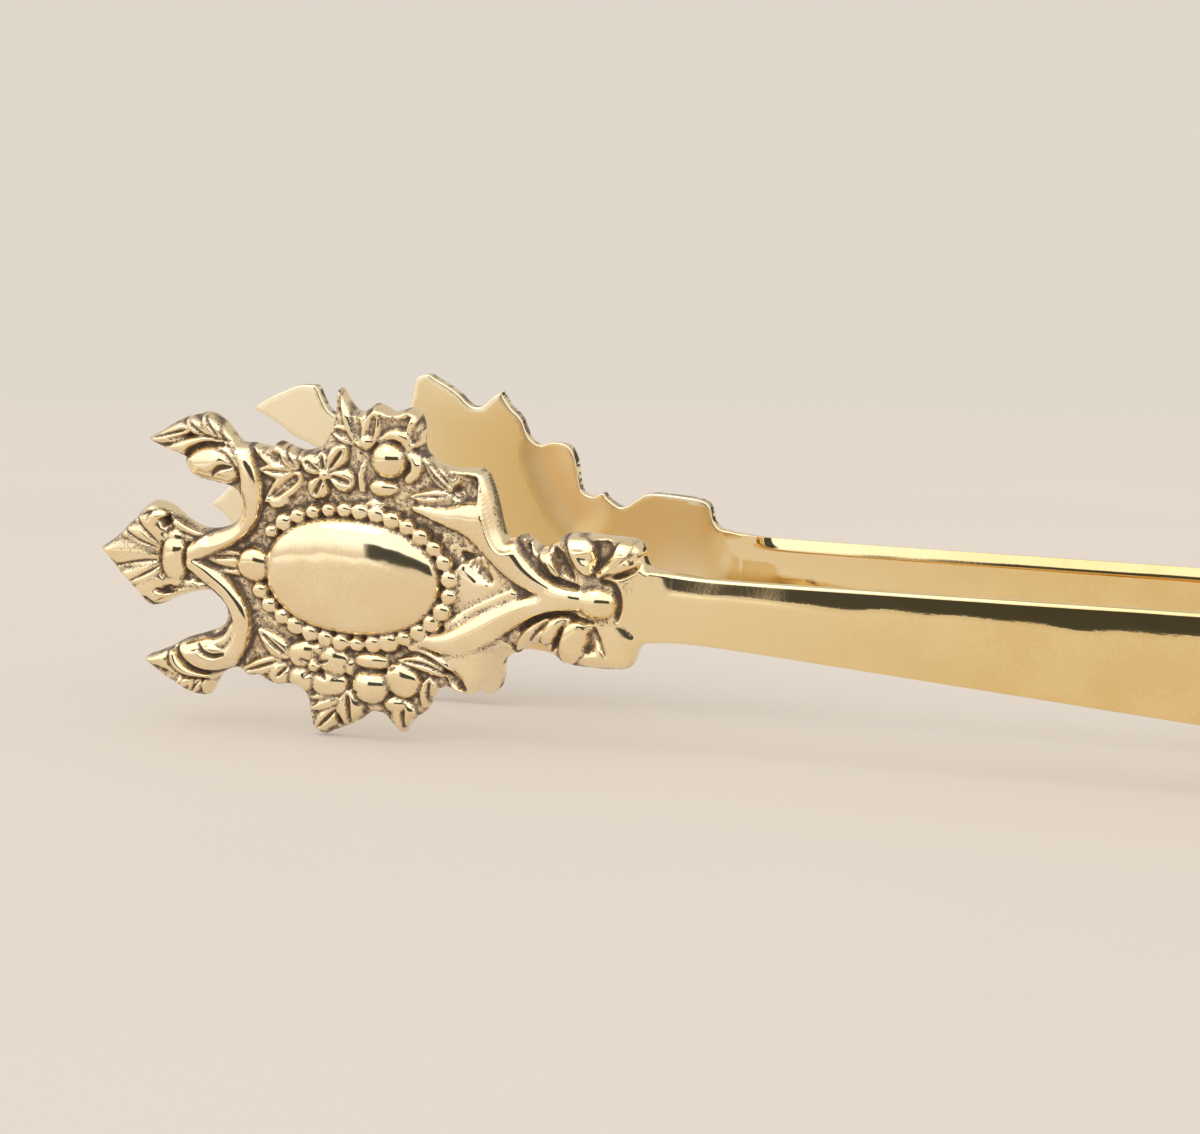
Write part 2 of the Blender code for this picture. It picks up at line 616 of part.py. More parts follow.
def centre_of_volume(pieces):
    """Returns the centre of the pieces' joint volume, summed over tetrahedra from the origin."""
    total = 0.0
    moment = Vector((0, 0, 0))
    for piece in pieces:
        piece.data.calc_loop_triangles()
        corners = [piece.matrix_world @ vertex.co for vertex in piece.data.vertices]
        for triangle in piece.data.loop_triangles:
            a, b, c = (corners[index] for index in triangle.vertices)
            volume = a.dot(b.cross(c)) / 6
            total += volume
            moment += volume * (a + b + c) / 4
    return moment / total


def build():
    """Builds every piece of the tongs, laid on edge."""
    clear_scene()
    parts = make_collection("serving_tongs")
    cast_brass = make_material("cast_brass", BRASS, CAST_ROUGHNESS)
    formed_brass = make_material("formed_brass", BRASS, FORMED_ROUGHNESS)
    spring_brass = make_material("spring_brass", SPRING_BRASS, SPRING_ROUGHNESS)
    rivet_brass = make_material("rivet_brass", RIVET_BRASS, RIVET_ROUGHNESS)
    head = head_mesh()
    arm = arm_mesh()
    rivet = rivet_mesh()
    still = Matrix.Identity(4)
    assembly = add_empty("tongs", None, still, parts)
    pieces = [part("spring_bow", bow_mesh(), spring_brass, assembly, still, parts)]
    middle = BOW_RADIUS - BOW_THICKNESS / 2
    flex = Vector((middle * math.cos(FLEX_ANGLE), -middle * math.sin(FLEX_ANGLE), 0))
    half_turn = Matrix.Rotation(HALF_TURN, 4, "X")
    for side, turn in (("front", still), ("back", half_turn)):
        pivot = add_empty(f"{side}_flex", assembly, turn @ Matrix.Translation(flex), parts)
        blade = Matrix.Translation(-flex) @ blade_matrix()
        pieces.append(part(f"{side}_head", head, cast_brass, pivot, blade, parts))
        pieces.append(part(f"{side}_arm", arm, formed_brass, pivot, blade, parts))
        stand = Matrix.Rotation(QUARTER_TURN, 4, "X")
        for end, x in zip(("rear", "fore"), rivet_places()):
            place = blade @ Matrix.Translation((x, 0, 0)) @ stand
            pieces.append(part(f"{side}_{end}_rivet", rivet, rivet_brass, pivot, place, parts))
    lay_down(assembly, pieces)


build()
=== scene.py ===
"""Looks of a pair of brass serving tongs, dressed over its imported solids.

Each side is drawn in its own blade frame, in millimetres: x runs from the claw tip back to the bow, z runs
across the blade and y points inwards, with the flat grip face at y = 0. Relief heights are measured outwards
from the grip face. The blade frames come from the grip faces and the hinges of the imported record.
"""
import json
import logging
import math
from dataclasses import dataclass
from enum import Enum
from typing import Sequence

import bmesh
import bpy
import numpy as np
from mathutils import Matrix, Vector
from mathutils.geometry import delaunay_2d_cdt


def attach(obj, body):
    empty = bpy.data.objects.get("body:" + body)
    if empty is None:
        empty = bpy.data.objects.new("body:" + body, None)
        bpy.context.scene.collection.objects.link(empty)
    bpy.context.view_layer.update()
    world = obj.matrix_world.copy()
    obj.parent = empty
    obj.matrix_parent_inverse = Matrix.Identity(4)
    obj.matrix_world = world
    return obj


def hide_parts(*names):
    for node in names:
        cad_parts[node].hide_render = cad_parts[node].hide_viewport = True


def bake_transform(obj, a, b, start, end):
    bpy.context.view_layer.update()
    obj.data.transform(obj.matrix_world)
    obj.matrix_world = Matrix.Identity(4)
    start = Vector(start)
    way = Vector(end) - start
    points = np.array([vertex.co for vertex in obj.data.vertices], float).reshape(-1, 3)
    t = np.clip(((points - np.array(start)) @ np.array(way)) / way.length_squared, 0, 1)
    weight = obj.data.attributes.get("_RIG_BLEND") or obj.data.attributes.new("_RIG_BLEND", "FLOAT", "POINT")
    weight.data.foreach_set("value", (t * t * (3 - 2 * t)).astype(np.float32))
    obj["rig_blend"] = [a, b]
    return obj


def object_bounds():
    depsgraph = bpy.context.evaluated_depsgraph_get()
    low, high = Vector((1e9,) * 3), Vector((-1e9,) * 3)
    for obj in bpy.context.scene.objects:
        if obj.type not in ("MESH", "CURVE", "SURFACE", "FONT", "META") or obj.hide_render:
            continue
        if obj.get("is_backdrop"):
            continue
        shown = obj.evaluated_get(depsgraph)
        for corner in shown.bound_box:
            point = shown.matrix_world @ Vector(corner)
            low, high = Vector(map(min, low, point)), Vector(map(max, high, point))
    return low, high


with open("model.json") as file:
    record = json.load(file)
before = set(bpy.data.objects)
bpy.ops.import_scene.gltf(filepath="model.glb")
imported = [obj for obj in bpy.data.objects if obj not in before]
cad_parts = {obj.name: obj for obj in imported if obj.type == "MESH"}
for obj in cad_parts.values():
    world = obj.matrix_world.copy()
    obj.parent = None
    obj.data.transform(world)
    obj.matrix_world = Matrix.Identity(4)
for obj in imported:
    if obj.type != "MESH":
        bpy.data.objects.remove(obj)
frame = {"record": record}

MM = 0.001
# Rolled rim of a casting: height of its foot, rise and reach of its roll, and where and how steeply it opens
RIM_FOOT = 0.8
RIM_RISE = 2.6
RIM_REACH = 1.8
RIM_OPEN = 1.5
RIM_SLOPE = 6.0
# Height below every motif, for places that a motif doesn't touch
NOWHERE = -9.0
# Room around a motif in its window on the height map
WINDOW_MARGIN = 0.4
LOG = logging.getLogger("serving_tongs")
Row = tuple[float, ...]
Window = tuple[slice, slice]


class Side(Enum):
    """The two sides of the tongs."""

    FRONT = "front"
    BACK = "back"

    @property
    def body(self) -> str:
        """Returns the CAD body that this side moves with."""
        return f"{self.value}_side"


class LeafCut(Enum):
    """How a leaf is worked across its width."""

    PLAIN = "plain"
    SLIT = "slit"
    CUPPED = "cupped"
    RIBBED = "ribbed"
    PETAL = "petal"


def smooth_step(low: float, high: float, value: np.ndarray) -> np.ndarray:
    """Returns a soft step from 0 to 1 between two values.

    Args:
        low: Value at which the step starts.
        high: Value at which the step ends.
        value: Values to grade.

    Returns:
        The graded values.
    """
    share = np.clip((value - low) / (high - low), 0.0, 1.0)
    return share * share * (3.0 - 2.0 * share)


def zone(value: np.ndarray, start: Row, end: Row) -> np.ndarray:
    """Returns 1 within a zone that starts and ends softly, and 0 outside it."""
    return smooth_step(*start, value) * (1.0 - smooth_step(*end, value))


def smooth_path(points: Sequence[Row], per_span: int) -> np.ndarray:
    """Runs a Catmull-Rom curve through rows of any width.

    Args:
        points: Rows that the curve passes through.
        per_span: Steps between two rows.

    Returns:
        The rows of the curve.
    """
    rows = np.array(points, float)
    padded = np.vstack([2 * rows[:1] - rows[1:2], rows, 2 * rows[-1:] - rows[-2:-1]])
    share = np.linspace(0.0, 1.0, per_span, endpoint=False)[:, None]
    spans = []
    for before, start, end, after in zip(padded, padded[1:], padded[2:], padded[3:]):
        square = (2 * before - 5 * start + 4 * end - after) * share ** 2
        cubic = (3 * start - before - 3 * end + after) * share ** 3
        spans.append(0.5 * (2 * start + (end - before) * share + square + cubic))
    return np.vstack([*spans, rows[-1:]])


def edge_height(inset: np.ndarray) -> np.ndarray:
    """Returns how high the rolled rim of the metal may stand at a distance inside its outline."""
    rolled = RIM_RISE * np.sqrt(1.0 - (1.0 - np.clip(inset / RIM_REACH, 0.0, 1.0)) ** 2)
    return RIM_FOOT + rolled + RIM_SLOPE * np.maximum(inset - RIM_OPEN, 0.0)


def rolled_drop(inset: np.ndarray, radius: float) -> np.ndarray:
    """Returns how far a rolled edge of that radius falls at a distance inside it."""
    gap = np.clip(1.0 - inset / radius, 0.0, 1.0)
    return radius * (1.0 - np.sqrt(1.0 - gap ** 2))


class Relief:
    """A height map over the blade on which the ornaments of a casting are drawn."""

    def __init__(self, low: Row, high: Row, step: float, ground: float) -> None:
        """Lays out the map.

        Args:
            low: Lowest x and z.
            high: Highest x and z.
            step: Spacing of the map's points.
            ground: Height of the bare plate.
        """
        self.step = step
        self.low = low
        along = np.arange(low[0], high[0] + step / 2, step)
        across = np.arange(low[1], high[1] + step / 2, step)
        self.x, self.z = np.meshgrid(along, across, indexing="ij")
        self.height = np.full(self.x.shape, ground)

    def window(self, points: np.ndarray, margin: float) -> Window:
        """Finds the part of the map around some points.

        Args:
            points: Rows that start with x and z.
            margin: Distance to add on every side.

        Returns:
            The window on the map.
        """
        first = np.floor((points[:, :2].min(0) - margin - self.low) / self.step).astype(int).clip(0)
        last = np.ceil((points[:, :2].max(0) + margin - self.low) / self.step).astype(int) + 1
        return slice(first[0], last[0]), slice(first[1], last[1])

    def nearest(self, path: np.ndarray, window: Window) -> tuple[np.ndarray, np.ndarray, np.ndarray]:
        """Measures the map's points against a path.

        Args:
            path: Rows that start with x and z.
            window: Part of the map to measure.

        Returns:
            The share along the path, the distance from it and the side on which each point lies.
        """
        x, z = self.x[window], self.z[window]
        best = np.full(x.shape, np.inf)
        share = np.zeros(x.shape)
        side = np.zeros(x.shape)
        count = len(path) - 1
        for index in range(count):
            start, run = path[index, :2], path[index + 1, :2] - path[index, :2]
            off_x, off_z = x - start[0], z - start[1]
            part = np.clip((off_x * run[0] + off_z * run[1]) / max(run @ run, 1e-9), 0.0, 1.0)
            off_x, off_z = off_x - part * run[0], off_z - part * run[1]
            distance = np.hypot(off_x, off_z)
            closer = distance < best
            best = np.where(closer, distance, best)
            share = np.where(closer, (index + part) / count, share)
            side = np.where(closer, np.sign(run[0] * off_z - run[1] * off_x), side)
        return share, best, side

    def raise_to(self, window: Window, height: np.ndarray, soft: float) -> None:
        """Lifts the map to a height where that is higher, with a soft crease.

        Args:
            window: Part of the map to lift.
            height: Height to lift it to.
            soft: Difference in height over which the crease is softened.
        """
        old = self.height[window]
        crease = np.maximum(soft - np.abs(old - height), 0.0) ** 2 / (4.0 * soft)
        self.height[window] = np.maximum(old, height) + crease

    def blurred(self, values: np.ndarray, inside: np.ndarray, radius: float) -> np.ndarray:
        """Returns values blurred within an outline by a soft disc of that radius.

        Args:
            values: Values on the map.
            inside: 1 within the outline and 0 outside it.
            radius: Spread of the blur.

        Returns:
            The blurred values.
        """
        shape = [2 * size for size in values.shape]
        turn_x = np.fft.fftfreq(shape[0])[:, None]
        turn_z = np.fft.rfftfreq(shape[1])[None, :]
        keep = np.exp(-2.0 * (math.pi * radius / self.step) ** 2 * (turn_x ** 2 + turn_z ** 2))
        spread = []
        for layer in (values * inside, inside.astype(float)):
            wide = np.fft.irfft2(np.fft.rfft2(layer, shape) * keep, shape)
            spread.append(wide[: values.shape[0], : values.shape[1]])
        return spread[0] / np.maximum(spread[1], 1e-4)


@dataclass(frozen=True)
class Stem:
    """A round rod, scroll or rib along a path of x, z, radius and crest."""

    path: tuple[Row, ...]
    soft: float = 0.12
    fall: float = 1.0

    def press(self, relief: Relief) -> None:
        """Draws the rod on the relief.

        Args:
            relief: Map to draw on.
        """
        rows = smooth_path(self.path, 6)
        window = relief.window(rows, rows[:, 2].max() + WINDOW_MARGIN)
        share, distance, _ = relief.nearest(rows, window)
        places = np.linspace(0.0, 1.0, len(rows))
        radius = np.interp(share, places, rows[:, 2])
        crest = np.interp(share, places, rows[:, 3])
        round_off = 1.0 - np.sqrt(np.clip(1.0 - (distance / radius) ** 2, 0.0, 1.0))
        height = np.where(distance < radius, crest - self.fall * radius * round_off, NOWHERE)
        relief.raise_to(window, height, self.soft)


@dataclass(frozen=True)
class Pillow:
    """A rounded oval swelling such as a bead, a berry, a petal or the medallion."""

    x: float
    z: float
    half_length: float
    half_width: float
    crest: float
    depth: float
    turn: float = 0.0
    square: float = 2.0
    flat: float = 2.0
    soft: float = 0.2

    def press(self, relief: Relief) -> None:
        """Draws the swelling on the relief.

        Args:
            relief: Map to draw on.
        """
        reach = max(self.half_length, self.half_width)
        window = relief.window(np.array([[self.x, self.z]]), reach + WINDOW_MARGIN)
        angle = math.radians(self.turn)
        off_x, off_z = relief.x[window] - self.x, relief.z[window] - self.z
        long = (off_x * math.cos(angle) + off_z * math.sin(angle)) / self.half_length
        wide = (off_z * math.cos(angle) - off_x * math.sin(angle)) / self.half_width
        out = (np.abs(long) ** self.square + np.abs(wide) ** self.square) ** (1.0 / self.square)
        round_off = 1.0 - np.clip(1.0 - out ** self.flat, 0.0, 1.0) ** (1.0 / self.flat)
        height = np.where(out < 1.0, self.crest - self.depth * round_off, NOWHERE)
        relief.raise_to(window, height, self.soft)


@dataclass(frozen=True)
class Leaf:
    """A leaf, lobe or petal from its base to its tip, bowed sideways by a share of its length."""

    base_x: float
    base_z: float
    tip_x: float
    tip_z: float
    width: float
    crest: float
    cut: LeafCut
    bow: float = 0.0
    depth: float = 1.35
    soft: float = 0.2

    def press(self, relief: Relief) -> None:
        """Draws the leaf on the relief.

        Args:
            relief: Map to draw on.
        """
        base, tip = np.array([self.base_x, self.base_z]), np.array([self.tip_x, self.tip_z])
        run = tip - base
        middle = (base + tip) / 2 + self.bow * np.array([-run[1], run[0]])
        rows = smooth_path((tuple(base), tuple(middle), tuple(tip)), 8)
        window = relief.window(rows, self.width / 2 + WINDOW_MARGIN)
        share, distance, side = relief.nearest(rows, window)
        petal = self.cut is LeafCut.PETAL
        fullness, lean = (0.5, 1.25) if petal else (0.72, 0.8)
        half = self.width / 2 * np.sin(math.pi * np.clip(share, 1e-4, 0.9999) ** lean) ** fullness
        out = np.clip(distance / np.maximum(half, 1e-3), 0.0, 1.0)
        dome = np.sqrt(1.0 - out ** 2)
        lift = self.crest - 0.55 * (1.0 - np.sin(math.pi * np.clip(0.12 + 0.8 * share, 0.0, 1.0)))
        height = lift - self.depth * (1.0 - self.worked(dome, out * side, share))
        relief.raise_to(window, np.where(distance < half, height, NOWHERE), self.soft)

    def worked(self, dome: np.ndarray, across: np.ndarray, share: np.ndarray) -> np.ndarray:
        """Works the leaf's surface across its width.

        Args:
            dome: Plain rounded section, 1 on the centre line.
            across: Place across the leaf, from -1 to 1.
            share: Place along the leaf, from 0 to 1.

        Returns:
            The worked section.
        """
        fade = smooth_step(0.02, 0.2, share) * (1.0 - smooth_step(0.72, 0.95, share))
        if self.cut is LeafCut.SLIT:
            return dome - 0.62 * np.exp(-(across / 0.16) ** 2) * fade
        if self.cut is LeafCut.PETAL:
            return dome - 0.6 * np.exp(-(across / 0.24) ** 2) * fade
        if self.cut is LeafCut.CUPPED:
            vein = 0.3 * np.exp(-(across / 0.13) ** 2)
            return dome - (0.95 * np.exp(-(across / 0.42) ** 2) - vein) * fade
        if self.cut is LeafCut.RIBBED:
            return dome * (1.0 - 0.34 * fade * (1.0 - np.cos(3.0 * math.pi * across)))
        return dome


@dataclass(frozen=True)
class Groove:
    """A chased line that is cut into the relief along x and z points."""

    path: tuple[Row, ...]
    width: float
    depth: float

    def press(self, relief: Relief) -> None:
        """Cuts the line into the relief.

        Args:
            relief: Map to cut into.
        """
        rows = smooth_path(self.path, 6)
        window = relief.window(rows, 1.6 * self.width)
        share, distance, _ = relief.nearest(rows, window)
        ends = np.minimum(1.0, 0.45 + 2.2 * np.minimum(share, 1.0 - share))
        cut = self.depth * np.exp(-1.2 * (2.0 * distance / (self.width * ends)) ** 2)
        relief.height[window] -= cut


# Outline of a head, x and z, from the claw tip along its upper edge and back along its lower edge
HEAD_OUTLINE: tuple[Row, ...] = (
    (-0.81, -0.25), (1.38, 1.35), (3.79, 3.85), (5.61, 5.72), (6.65, 6.13), (8.11, 5.91), (9.31, 5.21),
    (10.71, 4.21), (12.71, 3.51), (14.76, 3.53), (17.01, 4.42), (17.99, 5.65), (18.19, 7.15), (17.69, 8.45),
    (16.49, 9.05), (14.49, 9.35), (12.49, 9.65), (11.29, 10.35), (10.69, 11.35), (10.39, 12.15),
    (8.29, 12.75), (5.69, 13.85), (7.17, 14.9), (9.08, 16.16), (10.63, 16.95), (12.34, 17.41),
    (13.12, 17.71), (14.21, 17.51), (15.51, 16.71), (16.71, 15.51), (17.81, 14.51), (19.31, 14.51),
    (20.81, 14.31), (22.08, 14.33), (22.85, 15.03), (24.31, 14.61), (26.11, 14.21), (28.44, 15.03),
    (29.49, 16.55), (30.09, 18.35), (30.29, 20.35), (30.52, 22.15), (31.61, 20.81), (33.01, 19.51),
    (34.62, 20.13), (35.22, 20.66), (36.31, 20.41), (37.51, 19.91), (38.87, 20.28), (39.71, 20.51),
    (40.91, 19.81), (41.41, 18.01), (41.51, 16.01), (42.71, 14.81), (44.51, 14.01), (46.71, 14.01),
    (49.1, 14.1), (50.2, 12.5), (51.1, 9.9), (51.85, 7.4), (52.5, 6.3), (53.53, 6.51), (54.51, 6.91),
    (55.61, 6.21), (56.81, 5.61), (58.59, 6.51), (59.47, 7.37), (61.51, 7.71), (64.71, 7.71), (68.0, 7.65),
    (69.1, 6.8), (69.4, 5.6), (70.0, 4.55),
)
HEAD_LOWER_OUTLINE: tuple[Row, ...] = (
    (69.9, -4.5), (69.0, -5.4), (68.5, -7.0), (67.4, -7.82), (64.09, -8.05), (60.49, -7.95), (58.89, -7.05),
    (57.69, -6.15), (56.43, -5.87), (54.74, -6.83), (54.19, -7.35), (52.89, -6.75), (51.3, -7.2),
    (50.75, -8.8), (50.3, -11.2), (49.2, -12.9), (47.2, -13.1), (45.29, -12.55), (43.81, -13.59),
    (42.71, -15.79), (41.31, -16.99), (40.21, -18.39), (39.99, -18.85), (38.79, -18.05), (37.49, -16.85),
    (35.81, -16.77), (34.01, -18.15), (32.41, -19.06), (30.7, -19.82), (29.69, -20.25), (28.29, -19.55),
    (27.79, -17.85), (27.39, -15.85), (26.49, -14.95), (25.09, -14.55), (23.39, -14.85), (22.09, -14.55),
    (20.89, -13.95), (19.49, -14.15), (18.09, -13.35), (15.95, -14.17), (14.91, -15.59), (14.11, -17.09),
    (13.47, -17.36), (11.49, -17.15), (9.49, -16.25), (7.69, -15.35), (5.39, -13.65), (6.84, -12.76),
    (8.85, -11.75), (10.76, -10.59), (13.3, -9.62), (15.66, -8.46), (16.49, -7.15), (16.29, -5.85),
    (15.29, -4.85), (14.09, -4.15), (11.5, -4.73), (9.27, -5.63), (7.23, -6.66), (5.89, -6.75),
    (4.49, -5.45), (2.59, -3.75), (0.79, -1.85),
)

# Rods, scrolls and ribs: rows of x, z, radius and crest
STEMS: tuple[Stem, ...] = (
    Stem(((17.2, 14.9, 0.8, 3.0), (18.4, 13.7, 1.0, 3.4), (19.25, 12.0, 1.15, 3.7), (19.8, 9.9, 1.4, 3.8),
          (19.9, 7.9, 1.4, 3.8), (19.6, 6.1, 1.4, 3.7), (18.7, 4.6, 1.35, 3.7), (17.0, 3.25, 1.35, 3.7),
          (14.9, 2.0, 1.3, 3.8), (12.5, 0.6, 1.25, 3.8)), 0.3),
    Stem(((12.5, -0.6, 1.25, 3.8), (14.5, -1.9, 1.25, 3.7), (16.6, -3.35, 1.25, 3.7),
          (18.1, -5.1, 1.25, 3.7), (18.9, -7.0, 1.25, 3.7), (18.85, -9.0, 1.2, 3.8),
          (18.0, -10.9, 1.25, 3.8), (16.5, -12.4, 1.4, 3.8), (14.7, -12.95, 1.4, 3.7),
          (12.9, -12.6, 1.3, 3.5)), 0.3),
    Stem(((18.0, -8.2, 0.8, 3.4), (17.2, -9.6, 0.8, 3.4), (15.8, -10.3, 0.7, 3.3), (14.3, -10.4, 0.6, 3.1)),
         0.3),
    Stem(((9.54, -12.4, 0.5, 3.0), (10.12, -13.66, 0.55, 3.2), (11.73, -14.46, 0.5, 3.2),
          (15.05, -14.69, 0.4, 3.0)), 0.3),
    Stem(((4.43, 4.2, 0.5, 2.9), (5.49, 5.42, 0.75, 3.1), (7.02, 6.0, 0.85, 3.3), (8.72, 6.0, 0.85, 3.3),
          (10.29, 5.3, 0.8, 3.1), (11.65, 4.51, 0.7, 3.0), (13.38, 3.78, 0.55, 2.8),
          (15.5, 3.54, 0.45, 2.6)), 0.3),
    Stem(((8.77, 1.81, 0.6, 3.0), (7.41, 2.53, 0.65, 3.1), (6.75, 3.65, 0.65, 3.3), (7.29, 4.67, 0.7, 3.4),
          (8.07, 4.96, 0.55, 3.3)), 0.3),
    Stem(((9.65, 3.92, 0.5, 2.6), (11.75, 3.12, 0.5, 2.6), (14.06, 2.72, 0.45, 2.6))),
    Stem(((9.8, 2.4, 0.5, 2.5), (11.8, 2.0, 0.5, 2.5))),
    Stem(((9.01, -5.3, 0.7, 3.0), (10.86, -4.6, 0.7, 2.9), (12.69, -4.1, 0.55, 2.7),
          (14.42, -3.8, 0.4, 2.5)), 0.3),
    Stem(((9.02, -3.31, 0.6, 2.9), (7.67, -3.69, 0.6, 3.0), (6.87, -4.58, 0.55, 3.0)), 0.3),
    Stem(((10.08, -3.37, 0.6, 2.6), (11.88, -3.47, 0.6, 2.6), (13.66, -3.47, 0.4, 2.5))),
    Stem(((9.8, 2.2, 1.1, 3.1), (9.75, 1.0, 1.6, 3.6), (9.75, -0.6, 1.7, 3.75), (9.8, -1.9, 1.6, 3.6),
          (9.8, -2.9, 1.1, 3.1)), 0.3, 0.75),
    Stem(((14.52, -0.25, 0.35, 2.7), (16.56, -0.03, 0.4, 2.8), (18.36, -0.03, 0.4, 2.8))),
    Stem(((15.87, -1.17, 0.35, 2.6), (18.07, -1.47, 0.35, 2.6))),
    Stem(((36.6, 16.6, 0.5, 3.0), (38.0, 17.4, 0.7, 3.3), (39.4, 17.25, 0.75, 3.4), (40.1, 16.1, 0.6, 3.1)),
         0.2),
    Stem(((39.9, 15.3, 0.55, 3.0), (41.0, 14.6, 0.75, 3.3), (41.15, 13.4, 0.8, 3.3),
          (40.2, 12.3, 0.65, 3.0)), 0.2),
    Stem(((34.3, 13.2, 0.4, 2.9), (34.1, 12.0, 0.45, 3.0), (34.3, 10.5, 0.45, 2.9))),
    Stem(((41.1, 8.9, 0.45, 2.9), (43.6, 8.5, 0.85, 3.4), (45.9, 8.3, 1.35, 3.9), (48.0, 8.3, 2.1, 4.25),
          (49.7, 7.9, 2.6, 4.45), (51.2, 6.4, 2.3, 4.4), (52.7, 4.6, 1.9, 4.2), (54.8, 2.7, 1.55, 4.0),
          (57.3, 1.5, 1.35, 3.9), (60.8, 0.6, 1.2, 4.0)), 0.5, 0.62),
    Stem(((49.3, 13.5, 0.5, 3.2), (49.8, 12.0, 0.7, 3.7), (50.2, 10.4, 1.2, 4.1), (50.3, 8.8, 1.8, 4.35)),
         0.6, 0.62),
    Stem(((45.8, -4.7, 0.7, 3.0), (48.6, -3.2, 0.9, 3.2), (51.4, -1.6, 0.9, 3.3), (53.8, -0.2, 0.8, 3.4)),
         0.8, 0.5),
    Stem(((42.7, 14.8, 0.5, 2.7), (45.34, 14.1, 0.5, 2.8), (47.88, 13.9, 0.55, 2.9),
          (49.92, 13.5, 0.6, 3.0)), 0.3),
    Stem(((40.8, -7.8, 0.35, 2.7), (43.0, -7.1, 0.9, 3.3), (45.3, -6.9, 1.4, 3.9), (47.6, -6.3, 1.9, 4.3),
          (49.8, -5.0, 2.0, 4.4), (52.0, -3.5, 1.8, 4.3), (54.4, -2.1, 1.55, 4.1), (57.0, -1.0, 1.35, 3.9),
          (60.6, -0.2, 1.2, 4.0)), 0.5, 0.8),
    Stem(((41.0, -8.0, 0.45, 2.9), (43.4, -8.6, 0.5, 3.2), (45.4, -9.4, 0.55, 3.5),
          (46.8, -10.6, 0.55, 3.5), (48.2, -11.4, 0.5, 3.2)), 0.3),
    Stem(((56.9, 6.9, 0.45, 3.6), (57.4, 5.6, 0.5, 3.8), (57.6, 4.6, 0.45, 3.7)), 0.2),
    Stem(((58.0, 4.8, 0.4, 3.5), (58.6, 3.9, 0.5, 3.7), (59.2, 3.0, 0.45, 3.6)), 0.2),
    Stem(((67.6, 7.8, 0.7, 3.9), (67.2, 6.6, 0.8, 4.2), (66.0, 5.0, 0.7, 4.3), (64.5, 3.6, 0.55, 4.1)),
         0.3),
    Stem(((62.0, 7.8, 0.5, 3.6), (64.4, 7.9, 0.5, 3.7), (66.8, 7.9, 0.5, 3.8)), 0.3),
)

